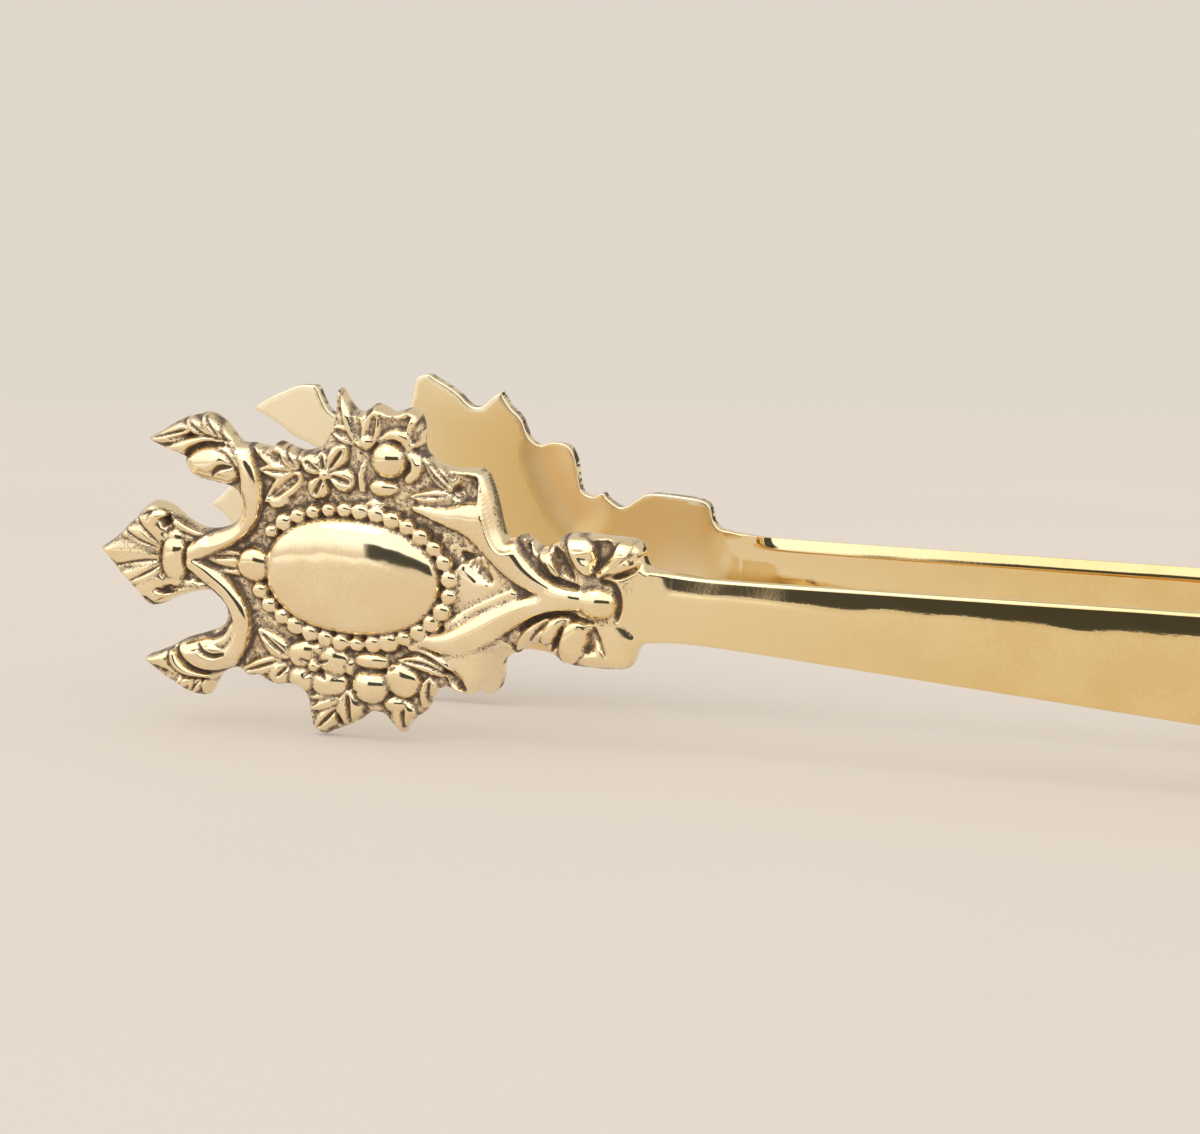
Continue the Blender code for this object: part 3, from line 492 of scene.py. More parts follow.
# Swellings: x, z, half length, half width, crest, depth, turn in degrees, squareness and flatness
MEDALLION = Pillow(33.23, -0.19, 11.35, 7.15, 5.2, 3.1, 0.0, 2.2, 2.4)
LARGE_BEAD = Pillow(20.45, 0.0, 2.3, 2.2, 3.9, 1.7, 0.0, 2.0, 2.4)
PILLOWS: tuple[Pillow, ...] = (
    MEDALLION,
    LARGE_BEAD,
    Pillow(15.1, 11.6, 4.1, 2.5, 4.0, 1.7, 10.0),
    Pillow(14.2, -11.8, 3.8, 2.1, 4.0, 1.6, -8.0),
    Pillow(7.43, -5.3, 2.5, 1.05, 3.2, 1.0, -20.0),
    Pillow(29.55, 11.85, 0.75, 0.75, 3.7, 0.75),
    Pillow(37.7, 14.35, 2.3, 2.25, 4.4, 2.0),
    Pillow(36.7, 20.2, 1.5, 0.95, 3.1, 0.9, -10.0),
    Pillow(38.57, 19.83, 1.2, 0.7, 2.8, 0.6),
    Pillow(40.6, 20.3, 1.1, 0.75, 3.0, 0.7),
    Pillow(37.0, 10.95, 1.95, 1.15, 3.4, 1.1),
    Pillow(34.72, 16.2, 1.0, 1.0, 3.3, 0.9),
    Pillow(23.4, 7.9, 1.4, 0.8, 2.9, 0.7, 20.0),
    Pillow(36.0, 8.9, 1.3, 0.5, 2.8, 0.5),
    Pillow(23.9, -13.2, 1.6, 1.6, 3.0, 1.0),
    Pillow(27.1, -10.35, 2.0, 1.65, 3.4, 0.9, 20.0, 2.3),
    Pillow(31.1, -10.75, 2.05, 1.8, 3.4, 0.9, -15.0, 2.3),
    Pillow(30.55, -13.7, 2.35, 1.55, 3.3, 0.9, 5.0, 2.3),
    Pillow(26.9, -13.5, 1.65, 1.55, 3.3, 0.9, 0.0, 2.3),
    Pillow(29.2, -9.55, 1.15, 0.9, 3.2, 0.8),
    Pillow(28.72, -11.55, 0.8, 0.8, 3.8, 0.8),
    Pillow(36.05, -10.3, 2.2, 1.1, 3.2, 0.8, 0.0, 2.4),
    Pillow(33.25, -11.3, 0.8, 1.2, 3.0, 0.8),
    Pillow(36.1, -13.3, 2.45, 2.2, 4.2, 1.7),
    Pillow(40.0, -12.2, 2.3, 2.0, 3.5, 1.0, -25.0, 2.3),
    Pillow(39.2, -15.2, 1.6, 1.1, 3.2, 1.0),
    Pillow(36.52, -15.7, 1.1, 0.8, 2.8, 0.7),
    Pillow(45.6, 12.6, 3.0, 2.2, 2.3, 0.3),
    Pillow(44.2, 9.9, 3.2, 1.0, 2.8, 0.4),
    Pillow(49.5, -8.4, 4.7, 5.6, 3.75, 1.3, 12.0, 2.2),
    Pillow(50.6, -0.6, 5.3, 4.6, 3.0, 0.6),
    Pillow(63.0, 0.2, 7.2, 8.4, 3.1, 0.6, 0.0, 5.0),
    Pillow(59.6, 0.2, 3.0, 1.5, 4.1, 1.3),
    Pillow(64.5, 0.15, 2.5, 1.9, 4.7, 1.6),
    Pillow(61.4, 0.3, 3.0, 1.4, 4.3, 1.2),
    Pillow(68.7, 7.0, 1.4, 1.3, 3.7, 1.0),
    Pillow(66.3, -5.2, 2.9, 2.9, 3.5, 0.55, 0.0, 2.3),
    Pillow(64.4, -6.9, 2.4, 1.2, 3.5, 0.7),
    Pillow(55.2, -4.2, 2.4, 2.2, 2.9, 0.4),
    Pillow(5.0, -0.2, 5.4, 5.4, 2.7, 0.6),
    Pillow(16.3, -0.1, 3.4, 1.6, 2.9, 0.5),
    Pillow(34.0, 12.3, 9.5, 4.2, 2.4, 0.4, 0.0, 3.0),
    Pillow(36.0, 17.6, 5.4, 3.4, 2.4, 0.4, 0.0, 3.0),
    Pillow(32.5, -12.4, 10.5, 3.6, 2.4, 0.4, 0.0, 3.0),
)

# Leaves, lobes and petals: base x, z, tip x, z, width, crest, cut and bow
LEAVES: tuple[Leaf, ...] = (
    Leaf(11.8, 15.8, 5.8, 13.95, 2.5, 3.2, LeafCut.SLIT),
    Leaf(14.0, 15.0, 10.9, 17.3, 2.2, 3.2, LeafCut.SLIT, 0.05),
    Leaf(15.7, 14.8, 13.2, 18.2, 2.3, 3.2, LeafCut.SLIT, 0.05),
    Leaf(17.5, 14.6, 15.7, 18.0, 2.3, 3.2, LeafCut.SLIT),
    Leaf(17.0, 14.5, 8.0, 13.0, 2.9, 3.0, LeafCut.PLAIN),
    Leaf(16.3, -14.2, 5.4, -13.45, 3.6, 3.0, LeafCut.PLAIN, -0.03),
    Leaf(12.54, -15.1, 9.64, -16.47, 1.7, 2.8, LeafCut.PLAIN),
    Leaf(13.38, -15.2, 11.59, -17.25, 1.8, 2.9, LeafCut.SLIT),
    Leaf(14.87, -14.6, 14.08, -17.51, 2.5, 3.0, LeafCut.PLAIN),
    Leaf(16.08, -13.7, 14.99, -16.25, 1.8, 2.9, LeafCut.PLAIN),
    Leaf(8.22, -0.45, -0.77, -0.29, 3.8, 3.2, LeafCut.PLAIN, 0.0, 0.8),
    Leaf(8.32, 0.65, 2.1, 2.1, 3.1, 3.2, LeafCut.PLAIN, -0.1, 0.8),
    Leaf(8.42, 1.45, 3.8, 4.2, 2.8, 3.2, LeafCut.PLAIN, -0.15, 0.8),
    Leaf(8.32, -1.35, 2.0, -3.4, 3.3, 3.2, LeafCut.PLAIN, 0.08, 0.8),
    Leaf(8.47, -2.47, 3.9, -5.2, 3.0, 3.2, LeafCut.PLAIN, 0.05, 0.8),
    Leaf(25.6, 12.2, 19.8, 14.5, 3.2, 3.2, LeafCut.CUPPED),
    Leaf(25.6, 11.6, 20.6, 11.6, 2.6, 3.0, LeafCut.SLIT),
    Leaf(25.9, 12.1, 23.9, 15.55, 2.6, 3.2, LeafCut.SLIT, 0.08),
    Leaf(26.5, 12.5, 26.0, 14.6, 1.3, 2.9, LeafCut.PLAIN),
    Leaf(26.4, 11.7, 21.6, 7.7, 3.1, 3.3, LeafCut.CUPPED),
    Leaf(29.9, 12.3, 32.1, 15.6, 2.7, 3.6, LeafCut.PETAL),
    Leaf(30.1, 11.9, 33.4, 11.0, 3.2, 3.6, LeafCut.PETAL),
    Leaf(29.4, 11.6, 28.0, 9.0, 3.1, 3.6, LeafCut.PETAL),
    Leaf(29.1, 12.0, 26.6, 13.6, 2.5, 3.6, LeafCut.PETAL),
    Leaf(29.4, 12.2, 28.9, 14.5, 1.9, 3.3, LeafCut.PETAL),
    Leaf(34.01, 15.49, 31.22, 22.65, 3.4, 3.4, LeafCut.CUPPED, -0.05),
    Leaf(33.92, 16.25, 29.6, 17.5, 2.4, 3.2, LeafCut.CUPPED),
    Leaf(34.8, 15.4, 35.8, 20.3, 2.7, 3.5, LeafCut.CUPPED),
    Leaf(40.4, 16.0, 41.8, 21.0, 2.9, 3.4, LeafCut.CUPPED),
    Leaf(45.8, 11.3, 41.8, 15.0, 2.2, 3.2, LeafCut.RIBBED),
    Leaf(45.8, 10.8, 40.2, 10.2, 2.0, 3.2, LeafCut.SLIT),
    Leaf(25.2, -11.2, 20.9, -7.9, 3.1, 3.1, LeafCut.SLIT),
    Leaf(24.2, -11.5, 18.5, -13.7, 2.5, 3.0, LeafCut.SLIT),
    Leaf(40.2, -14.4, 40.3, -19.0, 3.7, 3.1, LeafCut.SLIT),
    Leaf(43.6, -11.4, 43.1, -15.8, 2.8, 3.1, LeafCut.SLIT),
    Leaf(46.0, -10.9, 39.2, -9.75, 2.4, 3.2, LeafCut.SLIT, -0.08),
    Leaf(32.9, -14.3, 33.5, -19.2, 4.0, 3.1, LeafCut.SLIT),
    Leaf(31.9, -16.4, 28.5, -19.9, 2.8, 3.0, LeafCut.SLIT),
    Leaf(32.2, -15.3, 28.0, -17.2, 2.0, 3.0, LeafCut.PLAIN),
    Leaf(31.5, -14.9, 27.8, -15.8, 1.4, 2.9, LeafCut.PLAIN),
    Leaf(58.6, 2.6, 55.6, 7.2, 2.6, 3.8, LeafCut.CUPPED, 0.0, 1.2),
    Leaf(63.5, 3.3, 60.3, 8.2, 3.1, 4.4, LeafCut.PLAIN, -0.06, 1.3),
    Leaf(64.8, 3.9, 69.9, 6.0, 2.0, 4.0, LeafCut.PLAIN, 0.0, 1.0),
    Leaf(58.4, -2.4, 54.4, -6.9, 2.5, 3.6, LeafCut.PLAIN, 0.0, 1.1),
    Leaf(60.2, -1.9, 57.6, -5.7, 2.4, 3.7, LeafCut.PLAIN, 0.0, 1.0),
    Leaf(62.5, -2.0, 60.6, -8.2, 3.8, 4.0, LeafCut.PLAIN, 0.0, 1.1),
)

# Chased lines: rows of x and z, then width and depth
GROOVES: tuple[Groove, ...] = (
    Groove(((9.0, 14.3), (11.4, 14.9), (14.0, 15.0), (16.8, 14.6)), 0.4, 0.6),
    Groove(((10.67, 12.23), (11.87, 13.33), (13.77, 14.08), (16.07, 14.2)), 0.7, 1.1),
    Groove(((14.9, 10.4), (15.4, 11.1), (16.2, 11.6), (17.4, 11.7)), 0.7, 0.9),
    Groove(((18.6, 9.2), (18.3, 10.8), (17.6, 12.2), (16.6, 13.2), (14.9, 13.9)), 0.4, 0.6),
    Groove(((13.3, -10.6), (14.1, -11.4), (15.4, -11.8), (16.8, -11.5)), 0.6, 1.0),
    Groove(((10.1, -11.0), (10.6, -12.6), (12.0, -13.7), (14.2, -14.1), (16.6, -13.75)), 0.6, 1.1),
    Groove(((8.87, -12.4), (9.17, -13.77), (10.47, -14.87), (12.27, -15.12), (14.57, -15.0)), 0.4, 0.9),
    Groove(((11.0, -15.2), (10.4, -16.1)), 0.35, 0.6),
    Groove(((12.5, -15.4), (12.2, -16.8)), 0.35, 0.6),
    Groove(((8.6, 4.5), (8.3, 3.6)), 0.9, 0.9),
    Groove(((7.37, -4.47), (8.77, -4.77), (10.07, -4.47)), 0.5, 0.8),
    Groove(((8.2, 1.6), (7.9, -0.6), (8.2, -2.8)), 0.45, 0.55),
    Groove(((11.7, 1.7), (11.3, 0.4), (11.3, -0.7), (11.7, -1.9)), 0.45, 0.6),
    Groove(((15.07, 0.33), (16.87, 0.58), (18.67, 0.68)), 0.35, 0.7),
    Groove(((12.87, -0.1), (14.77, -0.6), (16.47, -0.9), (18.47, -0.9)), 0.45, 0.55),
    Groove(((3.0, 2.6), (5.0, 1.5), (7.5, 0.75)), 0.35, 0.5),
    Groove(((4.8, 4.2), (5.6, 3.0), (7.7, 1.3)), 0.35, 0.5),
    Groove(((2.0, -2.0), (5.0, -1.2), (7.5, -0.8)), 0.35, 0.5),
    Groove(((3.8, -3.8), (6.0, -2.6), (7.8, -1.5)), 0.35, 0.5),
    Groove(((24.8, -12.4), (23.7, -13.5)), 0.4, 0.7),
    Groove(((31.5, -17.3), (32.2, -18.7)), 0.6, 1.0),
    Groove(((28.2, -11.2), (26.8, -10.9)), 0.4, 0.5),
    Groove(((29.2, -11.2), (30.6, -10.7)), 0.4, 0.5),
    Groove(((29.1, -12.1), (30.2, -13.0)), 0.45, 0.6),
    Groove(((28.3, -12.2), (27.6, -13.0)), 0.4, 0.5),
    Groove(((32.6, -12.4), (33.2, -12.9), (33.2, -14.0)), 0.5, 0.6),
    Groove(((38.4, -11.0), (39.2, -10.6)), 0.4, 0.4),
    Groove(((33.7, -14.3), (34.6, -14.1)), 0.5, 0.8),
    Groove(((34.4, -11.2), (36.2, -11.45), (38.0, -11.2)), 0.4, 0.7),
    Groove(((45.6, -10.4), (46.7, -11.3), (48.0, -12.1)), 2.0, 1.4),
    Groove(((46.4, 11.6), (47.6, 12.0), (48.6, 12.8)), 2.4, 0.7),
    Groove(((41.6, -8.4), (43.6, -9.0), (45.4, -9.9), (46.6, -10.9)), 0.5, 0.8),
    Groove(((47.3, 3.9), (49.1, 2.7), (50.9, 1.4)), 2.0, 0.8),
    Groove(((58.9, 5.9), (60.0, 4.2), (61.2, 2.8)), 1.4, 0.9),
    Groove(((55.4, 5.9), (56.4, 4.4), (57.7, 3.0), (59.4, 2.1), (62.0, 1.7)), 0.9, 1.0),
    Groove(((65.0, 7.4), (64.5, 5.8), (64.1, 4.2)), 4.0, 1.15),
    Groove(((66.2, 3.3), (67.6, 3.9), (69.2, 4.9)), 0.6, 0.9),
    Groove(((64.8, 2.7), (66.2, 2.4), (66.9, 1.0), (67.0, -0.4), (66.8, -1.7)), 0.8, 0.7),
    Groove(((63.2, -5.6), (63.9, -4.6), (64.0, -3.4)), 1.9, 0.6),
    Groove(((64.1, -2.8), (64.8, -4.3), (65.7, -6.0)), 0.5, 0.5),
    Groove(((60.2, -3.2), (59.6, -4.8), (58.9, -6.2)), 0.6, 0.8),
    Groove(((58.3, -2.8), (57.0, -4.2), (56.2, -5.4)), 0.6, 0.7),
    Groove(((54.8, -4.3), (56.4, -3.0), (58.4, -2.0), (60.4, -1.6), (62.0, -2.0), (64.0, -2.3)), 0.7, 0.9),
)


@dataclass
class ArmSection:
    """The crowned section that the neck of a head and its arm share."""

    start_x: float = 73.0
    length: float = 152.3
    neck_half_width: float = 3.75
    bow_half_width: float = 10.2
    neck_flare: float = 0.35
    flare_reach: float = 3.0
    thickness: float = 1.5
    crown_share: float = 0.125
    crown_end: float = 135.0
    outer_round: float = 0.4
    end_round: float = 7.0
    end_cut: float = 0.7

    def half_width(self, x: np.ndarray) -> np.ndarray:
        """Gives the half width of the section.

        Args:
            x: Places along the blade.

        Returns:
            The half width at each place.
        """
        along = np.asarray(x, float) - self.start_x
        half = self.neck_half_width + (self.bow_half_width - self.neck_half_width) * along / self.length
        half = half + self.neck_flare * np.exp(-np.maximum(along, -2.0) / self.flare_reach)
        into_end = np.clip((along - self.length + self.end_round) / self.end_round, 0.0, 1.0)
        return half * np.sqrt(1.0 - self.end_cut * into_end ** 2)

    def bulge(self, x: np.ndarray, across: np.ndarray) -> np.ndarray:
        """Returns how far the section bows outwards at a place along and across the blade."""
        fade = 1.0 - smooth_step(0.6 * self.crown_end, self.crown_end, np.asarray(x, float) - self.start_x)
        return self.crown_share * self.half_width(x) * fade * (1.0 - np.clip(np.abs(across), 0.0, 1.0) ** 2)

    def outer(self, x: np.ndarray, z: np.ndarray) -> np.ndarray:
        """Returns the height of the outer face, with its rolled edges."""
        half = self.half_width(x)
        return self.thickness + self.bulge(x, z / half) - rolled_drop(half - np.abs(z), self.outer_round)


@dataclass(frozen=True)
class Hollow:
    """A shallow hollow in the back of a head along x and z points."""

    path: tuple[Row, ...]
    width: float = 4.2
    depth: float = 0.6

    def sink(self, x: np.ndarray, z: np.ndarray) -> np.ndarray:
        """Gives the depth of the hollow.

        Args:
            x: Places along the blade.
            z: Places across the blade.

        Returns:
            How far the back is sunk at each place.
        """
        rows = smooth_path(self.path, 6)
        gap = np.min(np.hypot(x[..., None] - rows[:, 0], z[..., None] - rows[:, 1]), -1)
        return self.depth * (0.5 + 0.5 * np.cos(math.pi * np.clip(gap / self.width, 0.0, 1.0)))


# Hollows behind the upper and the lower horn
HOLLOWS: tuple[Hollow, ...] = (
    Hollow(((47.2, 12.2), (48.4, 9.4), (50.0, 6.6), (52.0, 4.6))),
    Hollow(((46.6, -11.4), (47.8, -9.0), (49.4, -6.4), (51.4, -4.4))),
)


@dataclass
class HeadCasting:
    """One relief-cast claw head, the same for both sides."""

    section: ArmSection
    # Height map, its bare ground and the last smoothing of the whole relief
    map_low: Row = (-1.56, -21.2)
    map_top: float = 23.0
    step: float = 0.16
    ground: float = 2.1
    polish_blur: float = 0.1
    # Where the outline runs on into the arm and where the arm's section takes over
    root_x: Row = (71.3, 73.0, 76.0)
    arm_blend: Row = (70.4, 72.6)
    saddle: float = 2.85
    saddle_start: float = 62.0
    saddle_end: Row = (66.0, 73.5)
    saddle_soft: float = 0.5
    # Ring of beads around the medallion
    ring_x: float = 33.15
    ring_z: float = -0.2
    ring_half_length: float = 12.7
    ring_half_height: float = 8.1
    bead_count: int = 32
    bead_radius: float = 1.14
    bead_radius_spread: float = 0.09
    bead_crest: float = 3.45
    bead_crest_spread: float = 0.1
    large_bead_reach: float = 3.0
    # Sandy grain on the ground and slight unevenness everywhere
    grain: float = 0.07
    grain_blur: float = 0.2
    grain_height: Row = (2.2, 2.7)
    grain_end: Row = (63.0, 66.0)
    unevenness: float = 0.006
    unevenness_blur: float = 0.6
    # Tighter rim along the horns
    horn_rim_x: tuple[Row, Row] = ((46.5, 48.5), (53.0, 55.0))
    horn_rim_z: Row = (4.0, 6.0)
    horn_rim_gain: float = 0.5
    # Deposit in wide and in fine hollows: blur, full depth, gain, lowest and highest share
    hollow_deposits: tuple[Row, ...] = ((1.1, 0.8, 0.5, -0.3, 0.4), (0.35, 0.3, 0.85, -0.2, 0.8))
    # Deposit on the ground and on the raised flowers and leaves, and where it leaves off
    ground_deposit: float = 0.04
    garland_deposit: float = 0.22
    garland_from: Row = (1.1, 1.25)
    deposit_height: Row = (2.3, 3.0)
    deposit_end: Row = (66.8, 69.4)
    horn_deposit_x: Row = (44.0, 47.0)
    fan_x: Row = (55.0, 58.0)
    fan_z: Row = (0.0, 2.0)
    # Back: rounding of its edge as shares of move and rise, spacing of its points and end of its satin
    back_round: float = 0.18
    back_steps: tuple[Row, ...] = ((0.0, 1.4), (0.3, 0.35), (1.0, 0.0))
    back_spacing: float = 0.6
    back_clearance: float = 0.55
    satin_end: Row = (66.0, 72.0)
    # Rim points that are merged, and slivers that are dissolved
    merge_reach: float = 0.02
    sliver: float = 0.004
    seed: int = 7

    def beads(self) -> list[Pillow]:
        """Spaces the ring of beads evenly, with sizes that are a little uneven as cast.

        Returns:
            The beads, less those in the place of the large bead.
        """
        turn = np.linspace(0.0, 2.0 * math.pi, 721)
        ring_x = self.ring_x + self.ring_half_length * np.cos(turn)
        ring_z = self.ring_half_height * np.sin(turn)
        run = np.concatenate([[0.0], np.cumsum(np.hypot(np.diff(ring_x), np.diff(ring_z)))])
        places = np.interp((np.arange(self.bead_count) + 0.5) / self.bead_count * run[-1], run, turn)
        chance = np.random.default_rng(self.seed)
        found = []
        for angle in places:
            x = self.ring_x + self.ring_half_length * math.cos(angle)
            z = self.ring_z + self.ring_half_height * math.sin(angle)
            radius = self.bead_radius * (1.0 + self.bead_radius_spread * chance.standard_normal())
            if math.hypot(x - LARGE_BEAD.x, z - LARGE_BEAD.z) > self.large_bead_reach:
                crest = self.bead_crest + self.bead_crest_spread * chance.standard_normal()
                found.append(Pillow(x, z, radius, 0.95 * radius, crest, 0.9, 0.0, 2.2, 2.5))
        return found

    def outline(self) -> np.ndarray:
        """Draws the outline of the head, running on into the arm.

        Returns:
            Closed rows of x and z.
        """
        root = [(x, float(self.section.half_width(x))) for x in self.root_x]
        upper = smooth_path((*HEAD_OUTLINE, *root), 5)
        lower = smooth_path((*[(x, -half) for x, half in root[::-1]], *HEAD_LOWER_OUTLINE), 5)
        return np.vstack([upper, lower, upper[:1]])

    def relief(self) -> tuple[Relief, np.ndarray, np.ndarray, np.ndarray]:
        """Draws the head.

        Returns:
            The relief, the distance inside the outline, the nearest outline points and the deposit.
        """
        relief = Relief(self.map_low, (self.section.start_x, self.map_top), self.step, self.ground)
        for motif in (*PILLOWS, *STEMS, *LEAVES, *self.beads()):
            motif.press(relief)
        self.join_arm(relief)
        for groove in GROOVES:
            groove.press(relief)
        inset, feet = self.inset(relief, self.outline())
        inside = inset > 0
        self.roughen(relief)
        recess = self.deposit(relief, inside)
        tight = zone(relief.x, *self.horn_rim_x) * smooth_step(*self.horn_rim_z, np.abs(relief.z))
        relief.height = np.minimum(relief.height, edge_height(inset * (1.0 + self.horn_rim_gain * tight)))
        relief.height = relief.blurred(relief.height, inside, self.polish_blur)
        arm = smooth_step(*self.arm_blend, relief.x)
        relief.height = relief.height * (1.0 - arm) + self.section.outer(relief.x, relief.z) * arm
        return relief, inset, feet, recess

    def roughen(self, relief: Relief) -> None:
        """Adds the sandy grain of the ground and the slight unevenness of the whole casting.

        Args:
            relief: Map to roughen.
        """
        whole = np.ones(relief.height.shape)
        chance = np.random.default_rng(self.seed)
        grit = relief.blurred(chance.standard_normal(whole.shape), whole, self.grain_blur)
        bare = 1.0 - smooth_step(*self.grain_height, relief.height)
        short = 1.0 - smooth_step(*self.grain_end, relief.x)
        relief.height += self.grain * grit / grit.std() * bare * short
        chance = np.random.default_rng(self.seed + 1)
        waver = relief.blurred(chance.standard_normal(whole.shape), whole, self.unevenness_blur)
        relief.height += self.unevenness * waver / waver.std()

    def deposit(self, relief: Relief, inside: np.ndarray) -> np.ndarray:
        """Works out where dark deposit stays in the casting.

        Args:
            relief: The drawn head.
            inside: Whether each point lies within the outline.

        Returns:
            The deposit, from 0 on bare metal to 1.
        """
        recess = np.zeros(relief.height.shape)
        for blur, depth, gain, low, high in self.hollow_deposits:
            below = relief.blurred(relief.height, inside, blur) - relief.height
            recess += np.clip(gain * below / depth, low, high)
        raised = smooth_step(*self.deposit_height, relief.height)
        around = np.hypot((relief.x - self.ring_x) / self.ring_half_length,
                          (relief.z - self.ring_z) / self.ring_half_height)
        fan = smooth_step(*self.fan_x, relief.x) * smooth_step(*self.fan_z, relief.z)
        horns = smooth_step(*self.horn_deposit_x, relief.x) * (1.0 - fan)
        garland = self.garland_deposit * smooth_step(*self.garland_from, around) * (1.0 - horns)
        recess += self.ground_deposit * (1.0 - raised) + garland * raised
        return np.clip(recess, 0.0, 1.0) * (1.0 - smooth_step(*self.deposit_end, relief.x))

    def join_arm(self, relief: Relief) -> None:
        """Runs the arm's section up the neck under the shell.

        Args:
            relief: Map to draw on.
        """
        across = relief.z / self.section.half_width(np.maximum(relief.x, self.section.start_x - 1.5))
        rise = (self.saddle - self.section.thickness) * (1.0 - smooth_step(*self.saddle_end, relief.x))
        saddle = self.section.thickness + rise + self.section.bulge(relief.x, across)
        height = np.where(relief.x > self.saddle_start, saddle, NOWHERE)
        relief.raise_to((slice(None), slice(None)), height, self.saddle_soft)

    def inset(self, relief: Relief, outline: np.ndarray) -> tuple[np.ndarray, np.ndarray]:
        """Measures the map against the outline.

        Args:
            relief: Map to measure.
            outline: Closed rows of x and z.

        Returns:
            Distance inside the outline, negative outside it, and the nearest outline points.
        """
        x, z = relief.x, relief.z
        best = np.full(x.shape, np.inf)
        feet = np.zeros((*x.shape, 2))
        crossings = np.zeros(x.shape, int)
        for start, end in zip(outline, outline[1:]):
            run = end - start
            off_x, off_z = x - start[0], z - start[1]
            part = np.clip((off_x * run[0] + off_z * run[1]) / max(run @ run, 1e-9), 0.0, 1.0)
            foot_x, foot_z = start[0] + part * run[0], start[1] + part * run[1]
            distance = np.hypot(x - foot_x, z - foot_z)
            closer = distance < best
            best = np.where(closer, distance, best)
            feet[closer] = np.stack([foot_x, foot_z], -1)[closer]
            if start[1] != end[1]:
                spans = (start[1] > z) != (end[1] > z)
                crossings += spans & (x < start[0] + off_z * run[0] / run[1])
        return np.where(crossings % 2 == 1, best, -best), feet

    def hollow(self, x: np.ndarray, z: np.ndarray) -> np.ndarray:
        """Gives the depth of the back behind the horns and into the arm's trough.

        Args:
            x: Places along the blade.
            z: Places across the blade.

        Returns:
            How far the back is sunk at each place.
        """
        depth = np.zeros(np.shape(x))
        for hollow in HOLLOWS:
            depth = np.maximum(depth, hollow.sink(x, z))
        start = self.section.start_x
        across = z / self.section.half_width(np.maximum(x, start - 1.5))
        trough = self.section.bulge(x, across) * smooth_step(start - 5.0, start, x)
        return np.maximum(depth, trough)

    def mesh(self) -> bpy.types.Mesh:
        """Makes the casting in the blade frame.

        Returns:
            The closed mesh.
        """
        relief, inset, feet, recess = self.relief()
        inside = inset > 0.25 * self.step
        cells = inside[:-1, :-1] | inside[1:, :-1] | inside[:-1, 1:] | inside[1:, 1:]
        used = np.zeros(inside.shape, bool)
        for rows, columns in ((slice(0, -1), slice(0, -1)), (slice(1, None), slice(0, -1)),
                              (slice(1, None), slice(1, None)), (slice(0, -1), slice(1, None))):
            used[rows, columns] |= cells
        number = np.full(inside.shape, -1)
        number[used] = np.arange(used.sum())
        x = np.where(inside, relief.x, np.minimum(feet[..., 0], self.section.start_x))
        z = np.where(inside, relief.z, feet[..., 1])
        neck = smooth_step(*self.arm_blend, x)
        foot = RIM_FOOT * (1.0 - neck) + (self.section.thickness - self.section.outer_round) * neck
        height = np.where(inside, relief.height, foot)
        spots = np.stack([x[used], -height[used], z[used]], -1)
        corners = np.stack([number[:-1, :-1][cells], number[1:, :-1][cells], number[1:, 1:][cells],
                            number[:-1, 1:][cells]], -1)
        mesh = bpy.data.meshes.new("head_casting")
        mesh.from_pydata((spots * MM).tolist(), [], corners.tolist())
        layer = mesh.attributes.new("recess", "FLOAT", "POINT")
        layer.data.foreach_set("value", recess[used].astype(np.float32))
        mesh.attributes.new("satin", "FLOAT", "POINT")
        mesh.attributes.new("hollow", "FLOAT", "POINT")
        slope = np.gradient(relief.blurred(inset, np.ones(inset.shape), 0.45), self.step)
        self.close_back(mesh, relief, slope)
        return mesh

    def close_back(self, mesh: bpy.types.Mesh, relief: Relief, slope: Sequence[np.ndarray]) -> None:
        """Adds the rim wall and the back to the open relief mesh.

        Args:
            mesh: The open relief.
            relief: Map that it was drawn on.
            slope: Steps along x and z that lead inwards from the outline.
        """
        shell = bmesh.new()
        shell.from_mesh(mesh)
        bmesh.ops.remove_doubles(shell, verts=shell.verts, dist=self.merge_reach * MM)
        bmesh.ops.dissolve_degenerate(shell, edges=shell.edges, dist=self.sliver * MM)
        after = {loop.vert: loop.link_loop_next.vert for edge in shell.edges if edge.is_boundary
                 for loop in edge.link_loops}
        rim = [next(iter(after))]
        while after[rim[-1]] is not rim[0]:
            rim.append(after[rim[-1]])
        LOG.info("head rim has %d of %d edge points", len(rim), len(after))
        place = np.array([(point.co.x, point.co.z) for point in rim]) / MM
        top = -np.array([point.co.y for point in rim]) / MM
        cell = np.rint((place - relief.low) / self.step).astype(int).clip(0, np.array(relief.x.shape) - 1)
        inward = np.stack([part[cell[:, 0], cell[:, 1]] for part in slope], -1)
        ring = rim
        for move, rise in self.back_steps:
            spot = place + inward * (move * self.back_round)
            base = self.hollow(spot[:, 0], spot[:, 1])
            lift = np.minimum(base + rise * self.back_round, 0.5 * (base + top))
            lower = [shell.verts.new((x * MM, -rise_to * MM, z * MM)) for (x, z), rise_to in zip(spot, lift)]
            for index, (above, below) in enumerate(zip(ring, lower)):
                after_index = (index + 1) % len(ring)
                wall = shell.faces.new((ring[after_index], above, below, lower[after_index]))
                nearer = min(place[index, 0], place[after_index, 0])
                wall.edges[0].smooth = bool(nearer < self.section.start_x - 0.01)
            ring = lower
        self.cap(shell, ring)
        for face in shell.faces:
            face.smooth = True
        shell.to_mesh(mesh)
        shell.free()

